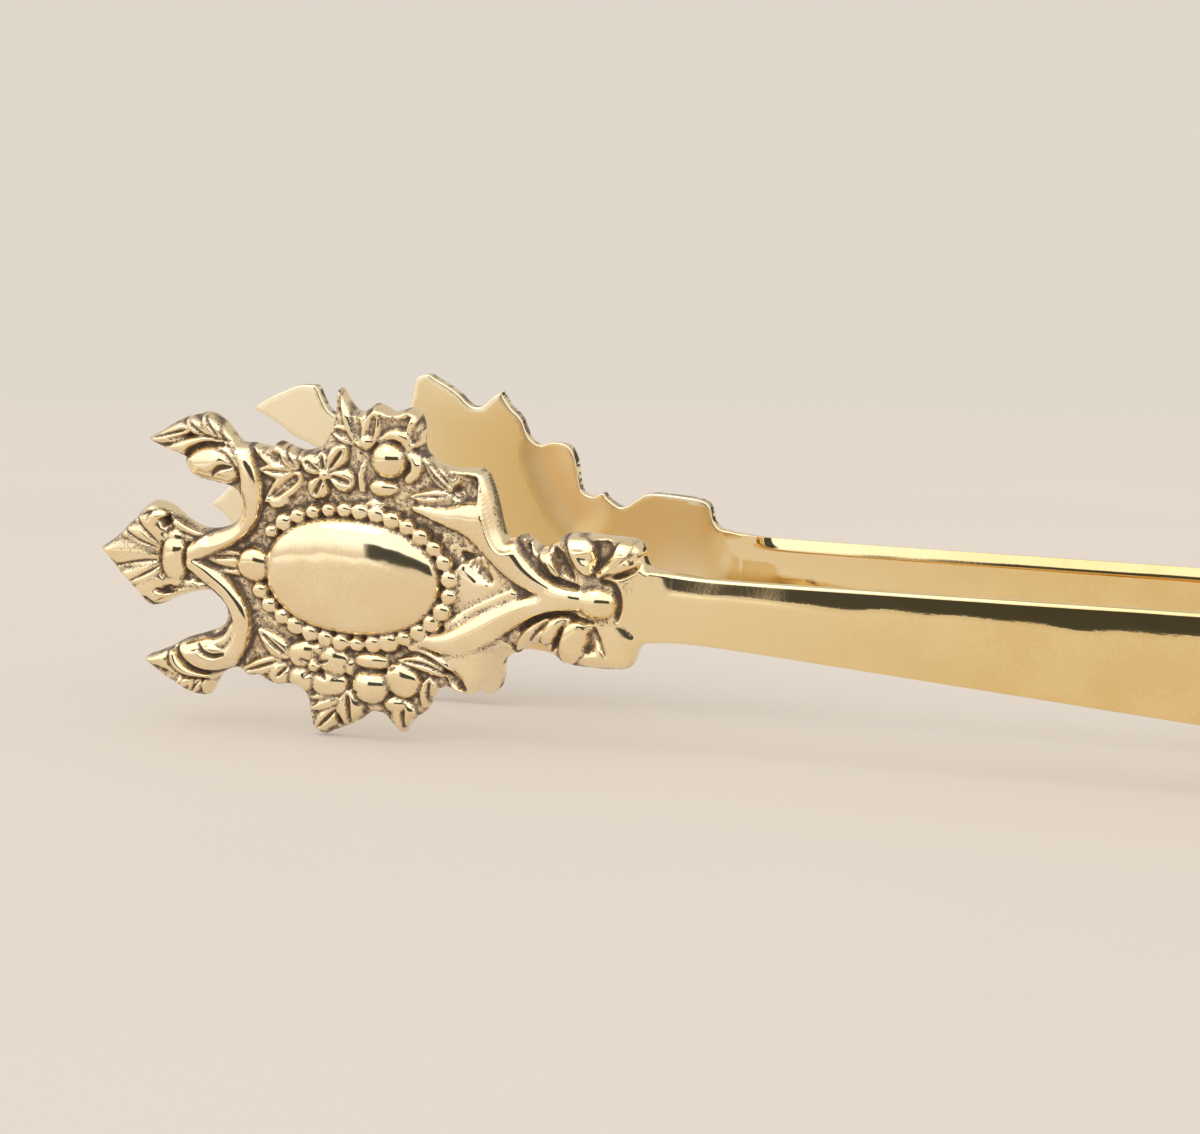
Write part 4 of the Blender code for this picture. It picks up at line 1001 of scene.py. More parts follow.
    def cap(self, shell: bmesh.types.BMesh, ring: list) -> None:
        """Fills the back inside its last ring.

        Args:
            shell: Mesh to fill.
            ring: Vertices of the ring in order.
        """
        satin, hollow = shell.verts.layers.float["satin"], shell.verts.layers.float["hollow"]
        edge = np.array([(point.co.x, point.co.z) for point in ring]) / MM
        low, high = edge.min(0), edge.max(0)
        spans = [np.arange(first, last, self.back_spacing) for first, last in zip(low, high)]
        grid = np.stack(np.meshgrid(*spans, indexing="ij"), -1).reshape(-1, 2)
        reach = self.back_clearance * self.back_spacing
        clear = np.array([np.min(np.hypot(*(edge - spot).T)) > reach for spot in grid])
        points = [Vector(spot) for spot in (*edge, *grid[clear])]
        count = len(ring)
        border = [(index, (index + 1) % count) for index in range(count)]
        spots, _, triangles, origins, *_ = delaunay_2d_cdt(points, border, [], 1, 1e-5)
        fresh = np.array([tuple(spot) for spot in spots])
        depth = self.hollow(fresh[:, 0], fresh[:, 1])
        verts = {}
        for index in sorted({corner for corners in triangles for corner in corners}):
            first = next((origin for origin in origins[index] if origin < count), None)
            spot = (fresh[index, 0] * MM, -depth[index] * MM, fresh[index, 1] * MM)
            verts[index] = ring[first] if first is not None else shell.verts.new(spot)
            verts[index][satin] = 1.0 - float(smooth_step(*self.satin_end, fresh[index, 0]))
            # The hollow share carries a painted orange glow of light reflected into the back behind the horns
            verts[index][hollow] = verts[index][satin] * min(1.0, depth[index] / HOLLOWS[0].depth)
        for corners in triangles:
            shell.faces.new([verts[corner] for corner in reversed(corners)])

    def build(self, side: Side, blade: Matrix, mesh: bpy.types.Mesh) -> bpy.types.Object:
        """Places the casting on one side.

        Args:
            side: Side that it belongs to.
            blade: Frame of that side.
            mesh: The casting.

        Returns:
            The head, riding on its side.
        """
        name, node = f"{side.value}_claw_head", f"{side.value}_head"
        return place_piece(name, mesh, blade, side.body, node)


def place_piece(name: str, mesh: bpy.types.Mesh, blade: Matrix, body: str, node: str) -> bpy.types.Object:
    """Puts a piece in place on a body.

    Args:
        name: Name of the piece.
        mesh: Its mesh in the blade frame.
        blade: Frame to place it in.
        body: CAD body that it rides on.
        node: CAD node that it stands for.

    Returns:
        The piece.
    """
    piece = bpy.data.objects.new(name, mesh)
    bpy.context.scene.collection.objects.link(piece)
    piece.matrix_world = blade
    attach(piece, body)
    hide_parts(node)
    LOG.info("built %s with %d faces", name, len(mesh.polygons))
    return piece


def skin(name: str, rows: np.ndarray, capped: bool = True) -> bpy.types.Mesh:
    """Skins closed sections into a mesh.

    Args:
        name: Name of the mesh.
        rows: Sections by points by x, y and z, in millimetres, each a closed loop.
        capped: Whether both ends are closed, point by point across the section.

    Returns:
        The mesh, smooth shaded.
    """
    sections, count = rows.shape[:2]
    faces = []
    for row in range(sections - 1):
        for point in range(count):
            here, after = row * count + point, row * count + (point + 1) % count
            faces.append((here, after, after + count, here + count))
    if capped:
        last = (sections - 1) * count
        for point in range(count // 2 - 1):
            other = count - 1 - point
            faces.append((point, other, other - 1, point + 1))
            faces.append((last + point, last + point + 1, last + other - 1, last + other))
    mesh = bpy.data.meshes.new(name)
    mesh.from_pydata((rows.reshape(-1, 3) * MM).tolist(), [], faces)
    mesh.polygons.foreach_set("use_smooth", [True] * len(mesh.polygons))
    for edge in mesh.edges:
        first, second = sorted(edge.vertices)
        around = second - first in (1, count - 1) and first // count == second // count
        edge.use_edge_sharp = capped and around and first // count in (0, sections - 1)
    return mesh


@dataclass
class FormedArm:
    """One tapering arm with a crowned outside and a trough along its inside."""

    section: ArmSection
    across_steps: int = 44
    inner_fall: float = 0.85
    inner_reach: float = 1.5
    inner_end: float = 150.0
    inner_fade: float = 40.0
    fine_end: float = 80.0
    coarse_end: float = 214.0
    end_run: float = 1.0
    span_steps: tuple[int, ...] = (24, 230, 46)
    end_steps: int = 16
    crowding: float = 1.6
    waver: float = 0.03
    # Waves that polishing leaves: weight, length, slant and phase
    waves: tuple[Row, ...] = ((1.0, 2.3, 0.35, 0.0), (0.7, 1.37, -0.5, 2.0), (0.8, 4.9, 0.8, 1.0))
    overlap: float = 0.03

    def mesh(self) -> bpy.types.Mesh:
        """Makes the arm in the blade frame.

        Returns:
            The closed mesh.
        """
        first = self.section.start_x - self.overlap
        last = self.section.start_x + self.section.length
        stops = (first, self.fine_end, self.coarse_end, last - self.end_run)
        spans = [np.linspace(start, end, count, endpoint=False)
                 for start, end, count in zip(stops, stops[1:], self.span_steps)]
        tip = last - self.end_run * np.linspace(1.0, 0.0, self.end_steps) ** self.crowding
        along = np.concatenate([*spans, tip])
        share = np.sin(np.linspace(-math.pi / 2, math.pi / 2, self.across_steps))
        x, across = np.meshgrid(along, share, indexing="ij")
        half = self.section.half_width(x)
        inset = np.minimum(half * (1.0 - np.abs(across)), last - x)
        bulge = self.section.bulge(x, across)
        outer = self.section.thickness + bulge - rolled_drop(inset, self.section.outer_round)
        outer = outer + self.planish(x, across * half)
        start = self.section.start_x
        fall = self.inner_fall * np.clip(1.0 - inset / self.inner_reach, 0.0, 1.0) ** 1.3
        fall = fall * zone(x, (start, start + 5.0), (self.inner_end, self.inner_end + self.inner_fade))
        inner = bulge + fall - 0.6 * self.planish(x, -across * half)
        top = np.stack([x, -outer, across * half], -1)
        under = np.stack([x, -inner, across * half], -1)[:, ::-1]
        return skin("formed_arm", np.concatenate([top, under], 1)[:, ::-1])

    def planish(self, x: np.ndarray, z: np.ndarray) -> np.ndarray:
        """Gives the slight unevenness that hand polishing leaves.

        Args:
            x: Places along the blade.
            z: Places across the blade.

        Returns:
            The height to add at each place.
        """
        fade = smooth_step(self.section.start_x, self.section.start_x + 6.0, x)
        wave = sum(weight * np.sin(x / length + slant * z + phase)
                   for weight, length, slant, phase in self.waves)
        return self.waver * fade * wave / sum(weight for weight, *_ in self.waves)

    def build(self, side: Side, blade: Matrix, mesh: bpy.types.Mesh) -> bpy.types.Object:
        """Places the arm on one side.

        Args:
            side: Side that it belongs to.
            blade: Frame of that side.
            mesh: The arm.

        Returns:
            The arm, riding on its side.
        """
        name, node = f"{side.value}_tapered_arm", f"{side.value}_arm"
        return place_piece(name, mesh, blade, side.body, node)


@dataclass
class SpringBow:
    """The bent spring band, as two halves that meet on its crown."""

    bend_x: float = 228.8
    bend_y: float = 9.7
    outer_radius: float = 9.4
    thickness: float = 1.2
    half_width: float = 9.5
    leg: float = 32.0
    edge_round: float = 0.4
    corner_round: float = 3.0
    end_share: float = 0.12
    end_steps: int = 26
    crowding: float = 1.6
    leg_steps: int = 34
    arc_steps: int = 64
    across_steps: int = 36

    def mesh(self, spread: float) -> bpy.types.Mesh:
        """Returns one half in its blade frame.

        Args:
            spread: Angle in radians between the blade and the middle plane of the tongs.

        Returns:
            The half band from the end of its leg to the crown.
        """
        arc = (math.pi / 2 - spread) * self.outer_radius
        end = self.leg * self.end_share * np.linspace(0.0, 1.0, self.end_steps) ** self.crowding
        straight = np.linspace((1.0 - self.end_share) * self.leg, 0.0, self.leg_steps)[1:]
        run = np.concatenate([end - self.leg, -straight, np.linspace(0.0, arc, self.arc_steps)[1:]])
        share = np.sin(np.linspace(-math.pi / 2, math.pi / 2, self.across_steps))
        along, across = np.meshgrid(run, share, indexing="ij")
        from_end = along + self.leg
        cut = np.clip(1.0 - from_end / self.corner_round, 0.0, 1.0)
        half = self.half_width - self.corner_round * (1.0 - np.sqrt(1.0 - cut ** 2))
        inset = np.minimum(half * (1.0 - np.abs(across)), np.maximum(from_end, 0.0))
        drop = rolled_drop(inset, self.edge_round)
        angle = np.maximum(along, 0.0) / self.outer_radius
        faces = []
        for radius in (self.outer_radius - drop, self.outer_radius - self.thickness + drop):
            faces.append(np.stack([self.bend_x + np.minimum(along, 0.0) + radius * np.sin(angle),
                                   self.bend_y - radius * np.cos(angle), across * half], -1))
        return skin("spring_band", np.concatenate([faces[0], faces[1][:, ::-1]], 1)[:, ::-1])

    def build(self, side: Side, blade: Matrix, spread: float) -> bpy.types.Object:
        """Places one half, bending between the crown and its side.

        Args:
            side: Side that it belongs to.
            blade: Frame of that side.
            spread: Angle between the blade and the middle plane.

        Returns:
            The half band.
        """
        mesh = self.mesh(spread)
        mesh.transform(blade)
        half = bpy.data.objects.new(f"{side.value}_spring_band", mesh)
        bpy.context.scene.collection.objects.link(half)
        turn = math.pi / 2 - spread
        crown = Vector((self.bend_x + self.outer_radius * math.sin(turn),
                        self.bend_y - self.outer_radius * math.cos(turn), 0.0))
        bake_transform(half, "bow", side.body, blade @ (crown * MM), blade @ (Vector((self.bend_x, 0.0, 0.0)) * MM))
        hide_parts("spring_bow")
        LOG.info("built %s with %d faces", half.name, len(mesh.polygons))
        return half


@dataclass
class Rivet:
    """A hammered rivet through an arm and a leg of the bow."""

    name: str
    x: float
    head_radius: float = 2.7
    head_seat: float = 1.42
    head_top: float = 3.1
    shank_radius: float = 1.5
    tail_radius: float = 2.2
    tail_seat: float = 1.42
    tail_top: float = 2.5
    tip_radius: float = 0.02
    head_powers: Row = (0.9, 0.8)
    tail_powers: Row = (0.7, 0.7)
    # Unround swell from the hammer: size and number of lobes
    lobes: tuple[Row, ...] = ((0.012, 3), (0.01, 5))
    dome_steps: int = 14
    segments: int = 48

    @staticmethod
    def dome(radius: float, seat: float, top: float, turn: np.ndarray, powers: Row) -> list[Row]:
        """Returns the rounded profile of one end.

        Args:
            radius: Radius at the seat.
            seat: Height of the seat.
            top: Height of the top.
            turn: Angles from the top to the seat, or back.
            powers: How fully the profile rounds outwards and upwards.

        Returns:
            Rows of radius and height.
        """
        out, up = powers
        return [(radius * math.sin(angle) ** out, seat + (top - seat) * math.cos(angle) ** up)
                for angle in turn]

    def mesh(self, seed: int) -> bpy.types.Mesh:
        """Returns the rivet in its blade frame, with facets from its own hammer blows.

        Args:
            seed: Choice of the hammer blows.

        Returns:
            The rivet.
        """
        chance = np.random.default_rng(seed)
        turn = np.linspace(0.0, math.pi / 2, self.dome_steps)
        head = self.dome(self.head_radius, -self.head_seat, -self.head_top, turn[1:], self.head_powers)
        tail = self.dome(self.tail_radius, self.tail_seat, self.tail_top, turn[:0:-1], self.tail_powers)
        profile = np.array([(self.tip_radius, -self.head_top), *head, (self.shank_radius, -self.head_seat),
                            (self.shank_radius, self.tail_seat), *tail, (self.tip_radius, self.tail_top)])
        angle = np.arange(self.segments) / self.segments * 2.0 * math.pi
        phases = chance.uniform(0.0, 2.0 * math.pi, len(self.lobes))
        swell = np.ones(self.segments)
        for (size, count), phase in zip(self.lobes, phases):
            swell += size * np.sin(count * angle + phase)
        radius = profile[:, :1] * swell
        rows = np.stack([self.x + radius * np.cos(angle), np.broadcast_to(profile[:, 1:], radius.shape),
                         radius * np.sin(angle)], -1)
        mesh = skin("rivet", rows, capped=False)
        closed = bmesh.new()
        closed.from_mesh(mesh)
        bmesh.ops.holes_fill(closed, edges=[edge for edge in closed.edges if edge.is_boundary], sides=0)
        bmesh.ops.recalc_face_normals(closed, faces=closed.faces)
        closed.to_mesh(mesh)
        closed.free()
        return mesh

    def build(self, side: Side, blade: Matrix, seed: int) -> bpy.types.Object:
        """Places the rivet on one side.

        Args:
            side: Side that it belongs to.
            blade: Frame of that side.
            seed: Choice of the hammer blows.

        Returns:
            The rivet, riding on its side.
        """
        node = f"{side.value}_{self.name}"
        return place_piece(f"{node}_hammered", self.mesh(seed), blade, side.body, node)


class ShaderSheet:
    """A node tree with short ways to add nodes and links."""

    def __init__(self, tree: bpy.types.NodeTree) -> None:
        """Keeps the tree to draw on."""
        self.tree = tree

    def add(self, kind: str, sockets: dict[str | int, object] | None = None,
            **settings: object) -> bpy.types.Node:
        """Adds a node.

        Args:
            kind: Node type without its ShaderNode prefix.
            sockets: Input by name or number, each a plain value or an output socket to link.
            settings: Properties of the node.

        Returns:
            The node.
        """
        node = self.tree.nodes.new(kind if kind.startswith("Node") else f"ShaderNode{kind}")
        for name, value in settings.items():
            setattr(node, name, value)
        for name, value in (sockets or {}).items():
            if isinstance(value, bpy.types.NodeSocket):
                self.tree.links.new(value, node.inputs[name])
            else:
                node.inputs[name].default_value = value
        return node

    def math(self, operation: str, *values: object) -> bpy.types.NodeSocket:
        """Returns the result of a maths node on numbers or sockets."""
        return self.add("Math", dict(enumerate(values)), operation=operation).outputs[0]

    def grade(self, value: bpy.types.NodeSocket, low: float, high: float, out_low: float = 0.0,
              out_high: float = 1.0) -> bpy.types.NodeSocket:
        """Grades a value softly from one range to another.

        Args:
            value: Value to grade.
            low: Value at which the grading starts.
            high: Value at which it ends.
            out_low: Result before the start.
            out_high: Result after the end.

        Returns:
            The graded value.
        """
        sockets = {"Value": value, "From Min": low, "From Max": high, "To Min": out_low, "To Max": out_high}
        return self.add("MapRange", sockets, interpolation_type="SMOOTHSTEP").outputs[0]

    def tint(self, share: bpy.types.NodeSocket, first: object, second: object) -> bpy.types.NodeSocket:
        """Mixes two colours.

        Args:
            share: Share of the second colour.
            first: Colour at a share of 0, plain or a socket.
            second: Colour at a share of 1, plain or a socket.

        Returns:
            The mixed colour.
        """
        mix = self.add("Mix", data_type="RGBA")
        sockets = {"Factor_Float": share, "A_Color": first, "B_Color": second}
        for socket in mix.inputs:
            value = sockets.get(socket.identifier)
            if isinstance(value, bpy.types.NodeSocket):
                self.tree.links.new(value, socket)
            elif value is not None:
                socket.default_value = value
        return next(socket for socket in mix.outputs if socket.identifier == "Result_Color")

    def noise(self, scale: float, detail: float, where: bpy.types.NodeSocket) -> bpy.types.NodeSocket:
        """Returns noise at a scale per metre."""
        return self.add("TexNoise", {"Vector": where, "Scale": scale, "Detail": detail}).outputs["Fac"]


def shader_group(name: str, inputs: dict[str, tuple[str, object]], outputs: dict[str, str]) -> ShaderSheet:
    """Starts a shader node group.

    Args:
        name: Name of the group.
        inputs: Socket kind and default value by name.
        outputs: Socket kind by name.

    Returns:
        A sheet to draw the group on.
    """
    tree = bpy.data.node_groups.new(name, "ShaderNodeTree")
    for title, (kind, value) in inputs.items():
        socket = tree.interface.new_socket(title, in_out="INPUT", socket_type=f"NodeSocket{kind}")
        socket.default_value = value
    for title, kind in outputs.items():
        tree.interface.new_socket(title, in_out="OUTPUT", socket_type=f"NodeSocket{kind}")
    return ShaderSheet(tree)


def hand_polish_group() -> bpy.types.NodeTree:
    """Draws metal that is polished by hand: cloudy tone, hairlines and small dents.

    Returns:
        The shader group.
    """
    sheet = shader_group("hand_polish", {
        "Bright": ("Color", (1.0, 0.8, 0.5, 1.0)), "Deep": ("Color", (0.8, 0.6, 0.3, 1.0)),
        "Smooth": ("Float", 0.1), "Dull": ("Float", 0.2)},
        {"Color": "Color", "Roughness": "Float", "Height": "Float"})
    given = sheet.add("NodeGroupInput")
    where = sheet.add("TexCoord").outputs["Object"]
    cloud = sheet.noise(160.0, 3.0, where)
    fine = sheet.noise(2600.0, 2.0, where)
    stretched = sheet.add("Mapping", {"Vector": where, "Scale": (140.0, 900.0, 5200.0)}).outputs[0]
    hairline = sheet.add("TexNoise", {"Vector": stretched, "Scale": 1.0, "Detail": 2.0}).outputs["Fac"]
    wear = sheet.math("MULTIPLY_ADD", fine, 0.35, sheet.math("MULTIPLY", cloud, 0.65))
    mask = sheet.grade(wear, 0.38, 0.62)
    scuff = sheet.math("MULTIPLY_ADD", hairline, 0.5, sheet.math("MULTIPLY", mask, 0.5))
    rough = sheet.add("MapRange", {"Value": scuff, "To Min": given.outputs["Smooth"],
                                   "To Max": given.outputs["Dull"]}).outputs[0]
    height = sheet.math("MULTIPLY_ADD", hairline, 0.3, sheet.math("MULTIPLY", fine, 0.7))
    sheet.add("NodeGroupOutput", {"Color": sheet.tint(mask, given.outputs["Bright"], given.outputs["Deep"]),
                                  "Roughness": rough, "Height": height})
    return sheet.tree


def casting_patina_group() -> bpy.types.NodeTree:
    """Draws the dark deposit and pitting that stay in the hollows of a casting, with its paler satin back and a
    painted orange glow of reflected light in the back's hollows.

    Returns:
        The shader group.
    """
    sheet = shader_group("casting_patina", {
        "Metal": ("Color", (1.0, 0.8, 0.5, 1.0)), "Patina": ("Color", (0.1, 0.07, 0.05, 1.0)),
        "Tarnish": ("Color", (0.4, 0.3, 0.2, 1.0)), "Metal Roughness": ("Float", 0.15),
        "Recess": ("Float", 0.0), "Spread": ("Float", 0.4),
        "Satin": ("Float", 0.0), "Satin Metal": ("Color", (1.0, 0.9, 0.7, 1.0)),
        "Hollow": ("Float", 0.0), "Hollow Glow": ("Color", (0.9, 0.7, 0.4, 1.0))},
        {"Color": "Color", "Roughness": "Float", "Metallic": "Float", "Height": "Float"})
    given = sheet.add("NodeGroupInput")
    recess, satin, hollow = (given.outputs[title] for title in ("Recess", "Satin", "Hollow"))
    where = sheet.add("TexCoord").outputs["Object"]
    blotch = sheet.noise(420.0, 4.0, where)
    grain = sheet.noise(2200.0, 3.0, where)
    pitted = sheet.noise(3400.0, 1.0, where)
    depth = sheet.math("MULTIPLY_ADD", sheet.math("SUBTRACT", blotch, 0.5), 0.5, recess)
    depth = sheet.math("MULTIPLY_ADD", sheet.math("SUBTRACT", grain, 0.5), 0.9, depth)
    near = sheet.grade(recess, 0.0, 0.16)
    reach = sheet.math("MULTIPLY", near, given.outputs["Spread"])
    mask = sheet.math("MULTIPLY", sheet.grade(depth, 0.36, 1.0), reach)
    pit = sheet.math("MULTIPLY", sheet.grade(pitted, 0.56, 0.64), near)
    dark = sheet.math("MAXIMUM", mask, sheet.math("MULTIPLY", pit, 0.8))
    dull = sheet.math("MULTIPLY", sheet.grade(depth, 0.02, 0.38), near)
    metal = sheet.tint(sheet.math("MULTIPLY", dull, 0.75), given.outputs["Metal"], given.outputs["Tarnish"])
    # Satin back, turning to a painted orange glow of reflected light in the back's hollows
    back_tone_and_glow = sheet.tint(hollow, given.outputs["Satin Metal"], given.outputs["Hollow Glow"])
    metal = sheet.tint(satin, metal, back_tone_and_glow)
    worn = sheet.add("MapRange", {"Value": sheet.math("MAXIMUM", dull, satin),
                                  "To Min": given.outputs["Metal Roughness"], "To Max": 0.27}).outputs[0]
    rough = sheet.add("MapRange", {"Value": sheet.math("MAXIMUM", dark, hollow), "To Min": worn,
                                   "To Max": 0.55}).outputs[0]
    coarse = sheet.math("MULTIPLY", grain, sheet.math("MULTIPLY_ADD", dull, 0.8, 0.1))
    sheet.add("NodeGroupOutput", {"Color": sheet.tint(dark, metal, given.outputs["Patina"]),
                                  "Roughness": rough,
                                  "Metallic": sheet.math("MULTIPLY_ADD", dark, -0.55, 1.0),
                                  "Height": sheet.math("SUBTRACT", coarse, pit)})
    return sheet.tree


def neck_tone_group() -> bpy.types.NodeTree:
    """Grades a metal's colour along the blade, from a tone at the neck to its own.

    Returns:
        The shader group.
    """
    sheet = shader_group("neck_tone", {
        "Neck": ("Color", (1.0, 0.8, 0.5, 1.0)), "Metal": ("Color", (0.8, 0.6, 0.3, 1.0)),
        "Start": ("Float", 0.073), "End": ("Float", 0.112)}, {"Color": "Color"})
    given = sheet.add("NodeGroupInput")
    along = sheet.add("SeparateXYZ", {0: sheet.add("TexCoord").outputs["Object"]}).outputs[0]
    share = sheet.add("MapRange", {"Value": along, "From Min": given.outputs["Start"],
                                   "From Max": given.outputs["End"]}).outputs[0]
    sheet.add("NodeGroupOutput", {"Color": sheet.tint(share, given.outputs["Neck"], given.outputs["Metal"])})
    return sheet.tree


@dataclass(frozen=True)
class BrassFinish:
    """Polished brass of one piece, with dark patina in its hollows where it is a casting."""

    name: str
    bright: Row
    deep: Row
    smooth: float
    dull: float
    relief: float
    patina: Row | None = None
    spread: float = 1.0
    tarnish: Row = (0.52, 0.385, 0.25)
    neck: Row | None = None
    neck_reach: float = 112.0
    satin: Row = (0.965, 0.845, 0.605)
    # Orange in the back's hollows: a painted glow of light reflected between the heads
    hollow: Row = (0.95, 0.7, 0.36)

    def material(self, groups: dict[str, bpy.types.NodeTree]) -> bpy.types.Material:
        """Returns the finish as a material.

        Args:
            groups: Shared shader groups by name.

        Returns:
            The material.
        """
        made = bpy.data.materials.new(self.name)
        made.use_nodes = True
        made.node_tree.nodes.clear()
        sheet = ShaderSheet(made.node_tree)
        polish = sheet.add("Group", node_tree=groups["hand_polish"])
        for title, value in (("Bright", (*self.bright, 1.0)), ("Deep", (*self.deep, 1.0)),
                             ("Smooth", self.smooth), ("Dull", self.dull)):
            polish.inputs[title].default_value = value
        metal = polish.outputs["Color"]
        if self.neck:
            tone = sheet.add("Group", node_tree=groups["neck_tone"])
            tone.inputs["Neck"].default_value = (*self.neck, 1.0)
            tone.inputs["End"].default_value = self.neck_reach * MM
            sheet.tree.links.new(metal, tone.inputs["Metal"])
            metal = tone.outputs["Color"]
        look, colour = polish, metal
        metallic: object = 1.0
        if self.patina:
            look = sheet.add("Group", node_tree=groups["casting_patina"])
            for title, shade in (("Patina", self.patina), ("Tarnish", self.tarnish),
                                 ("Satin Metal", self.satin), ("Hollow Glow", self.hollow)):
                look.inputs[title].default_value = (*shade, 1.0)
            look.inputs["Spread"].default_value = self.spread
            for title in ("Recess", "Satin", "Hollow"):
                source = sheet.add("Attribute", attribute_name=title.lower()).outputs["Fac"]
                sheet.tree.links.new(source, look.inputs[title])
            sheet.tree.links.new(metal, look.inputs["Metal"])
            sheet.tree.links.new(polish.outputs["Roughness"], look.inputs["Metal Roughness"])
            metallic, colour = look.outputs["Metallic"], look.outputs["Color"]
        bump = sheet.add("Bump", {"Height": look.outputs["Height"], "Strength": 1.0,
                                  "Distance": self.relief * MM})
        surface = sheet.add("BsdfPrincipled", {"Base Color": colour, "Roughness": look.outputs["Roughness"],
                                               "Metallic": metallic, "Normal": bump.outputs[0]})
        sheet.add("OutputMaterial", {"Surface": surface.outputs[0]})
        return made


NECK_TONE: Row = (0.955, 0.785, 0.475)
CAST_BRASS = BrassFinish(
    "cast_brass_antiqued", bright=(0.985, 0.84, 0.57), deep=(0.93, 0.76, 0.48), smooth=0.06, dull=0.13,
    relief=0.03, patina=(0.13, 0.088, 0.066), spread=0.95, neck=NECK_TONE, neck_reach=60.0)
FORMED_BRASS = BrassFinish(
    "formed_brass_polished", bright=(0.93, 0.72, 0.36), deep=(0.885, 0.665, 0.31), smooth=0.035, dull=0.07,
    relief=0.003, neck=NECK_TONE)
SPRING_BRASS = BrassFinish(
    "spring_brass_polished", bright=(0.92, 0.71, 0.36), deep=(0.87, 0.65, 0.31), smooth=0.06, dull=0.12,
    relief=0.004)
RIVET_BRASS = BrassFinish(
    "rivet_brass_hammered", bright=(0.93, 0.74, 0.41), deep=(0.86, 0.66, 0.33), smooth=0.08, dull=0.18,
    relief=0.01)


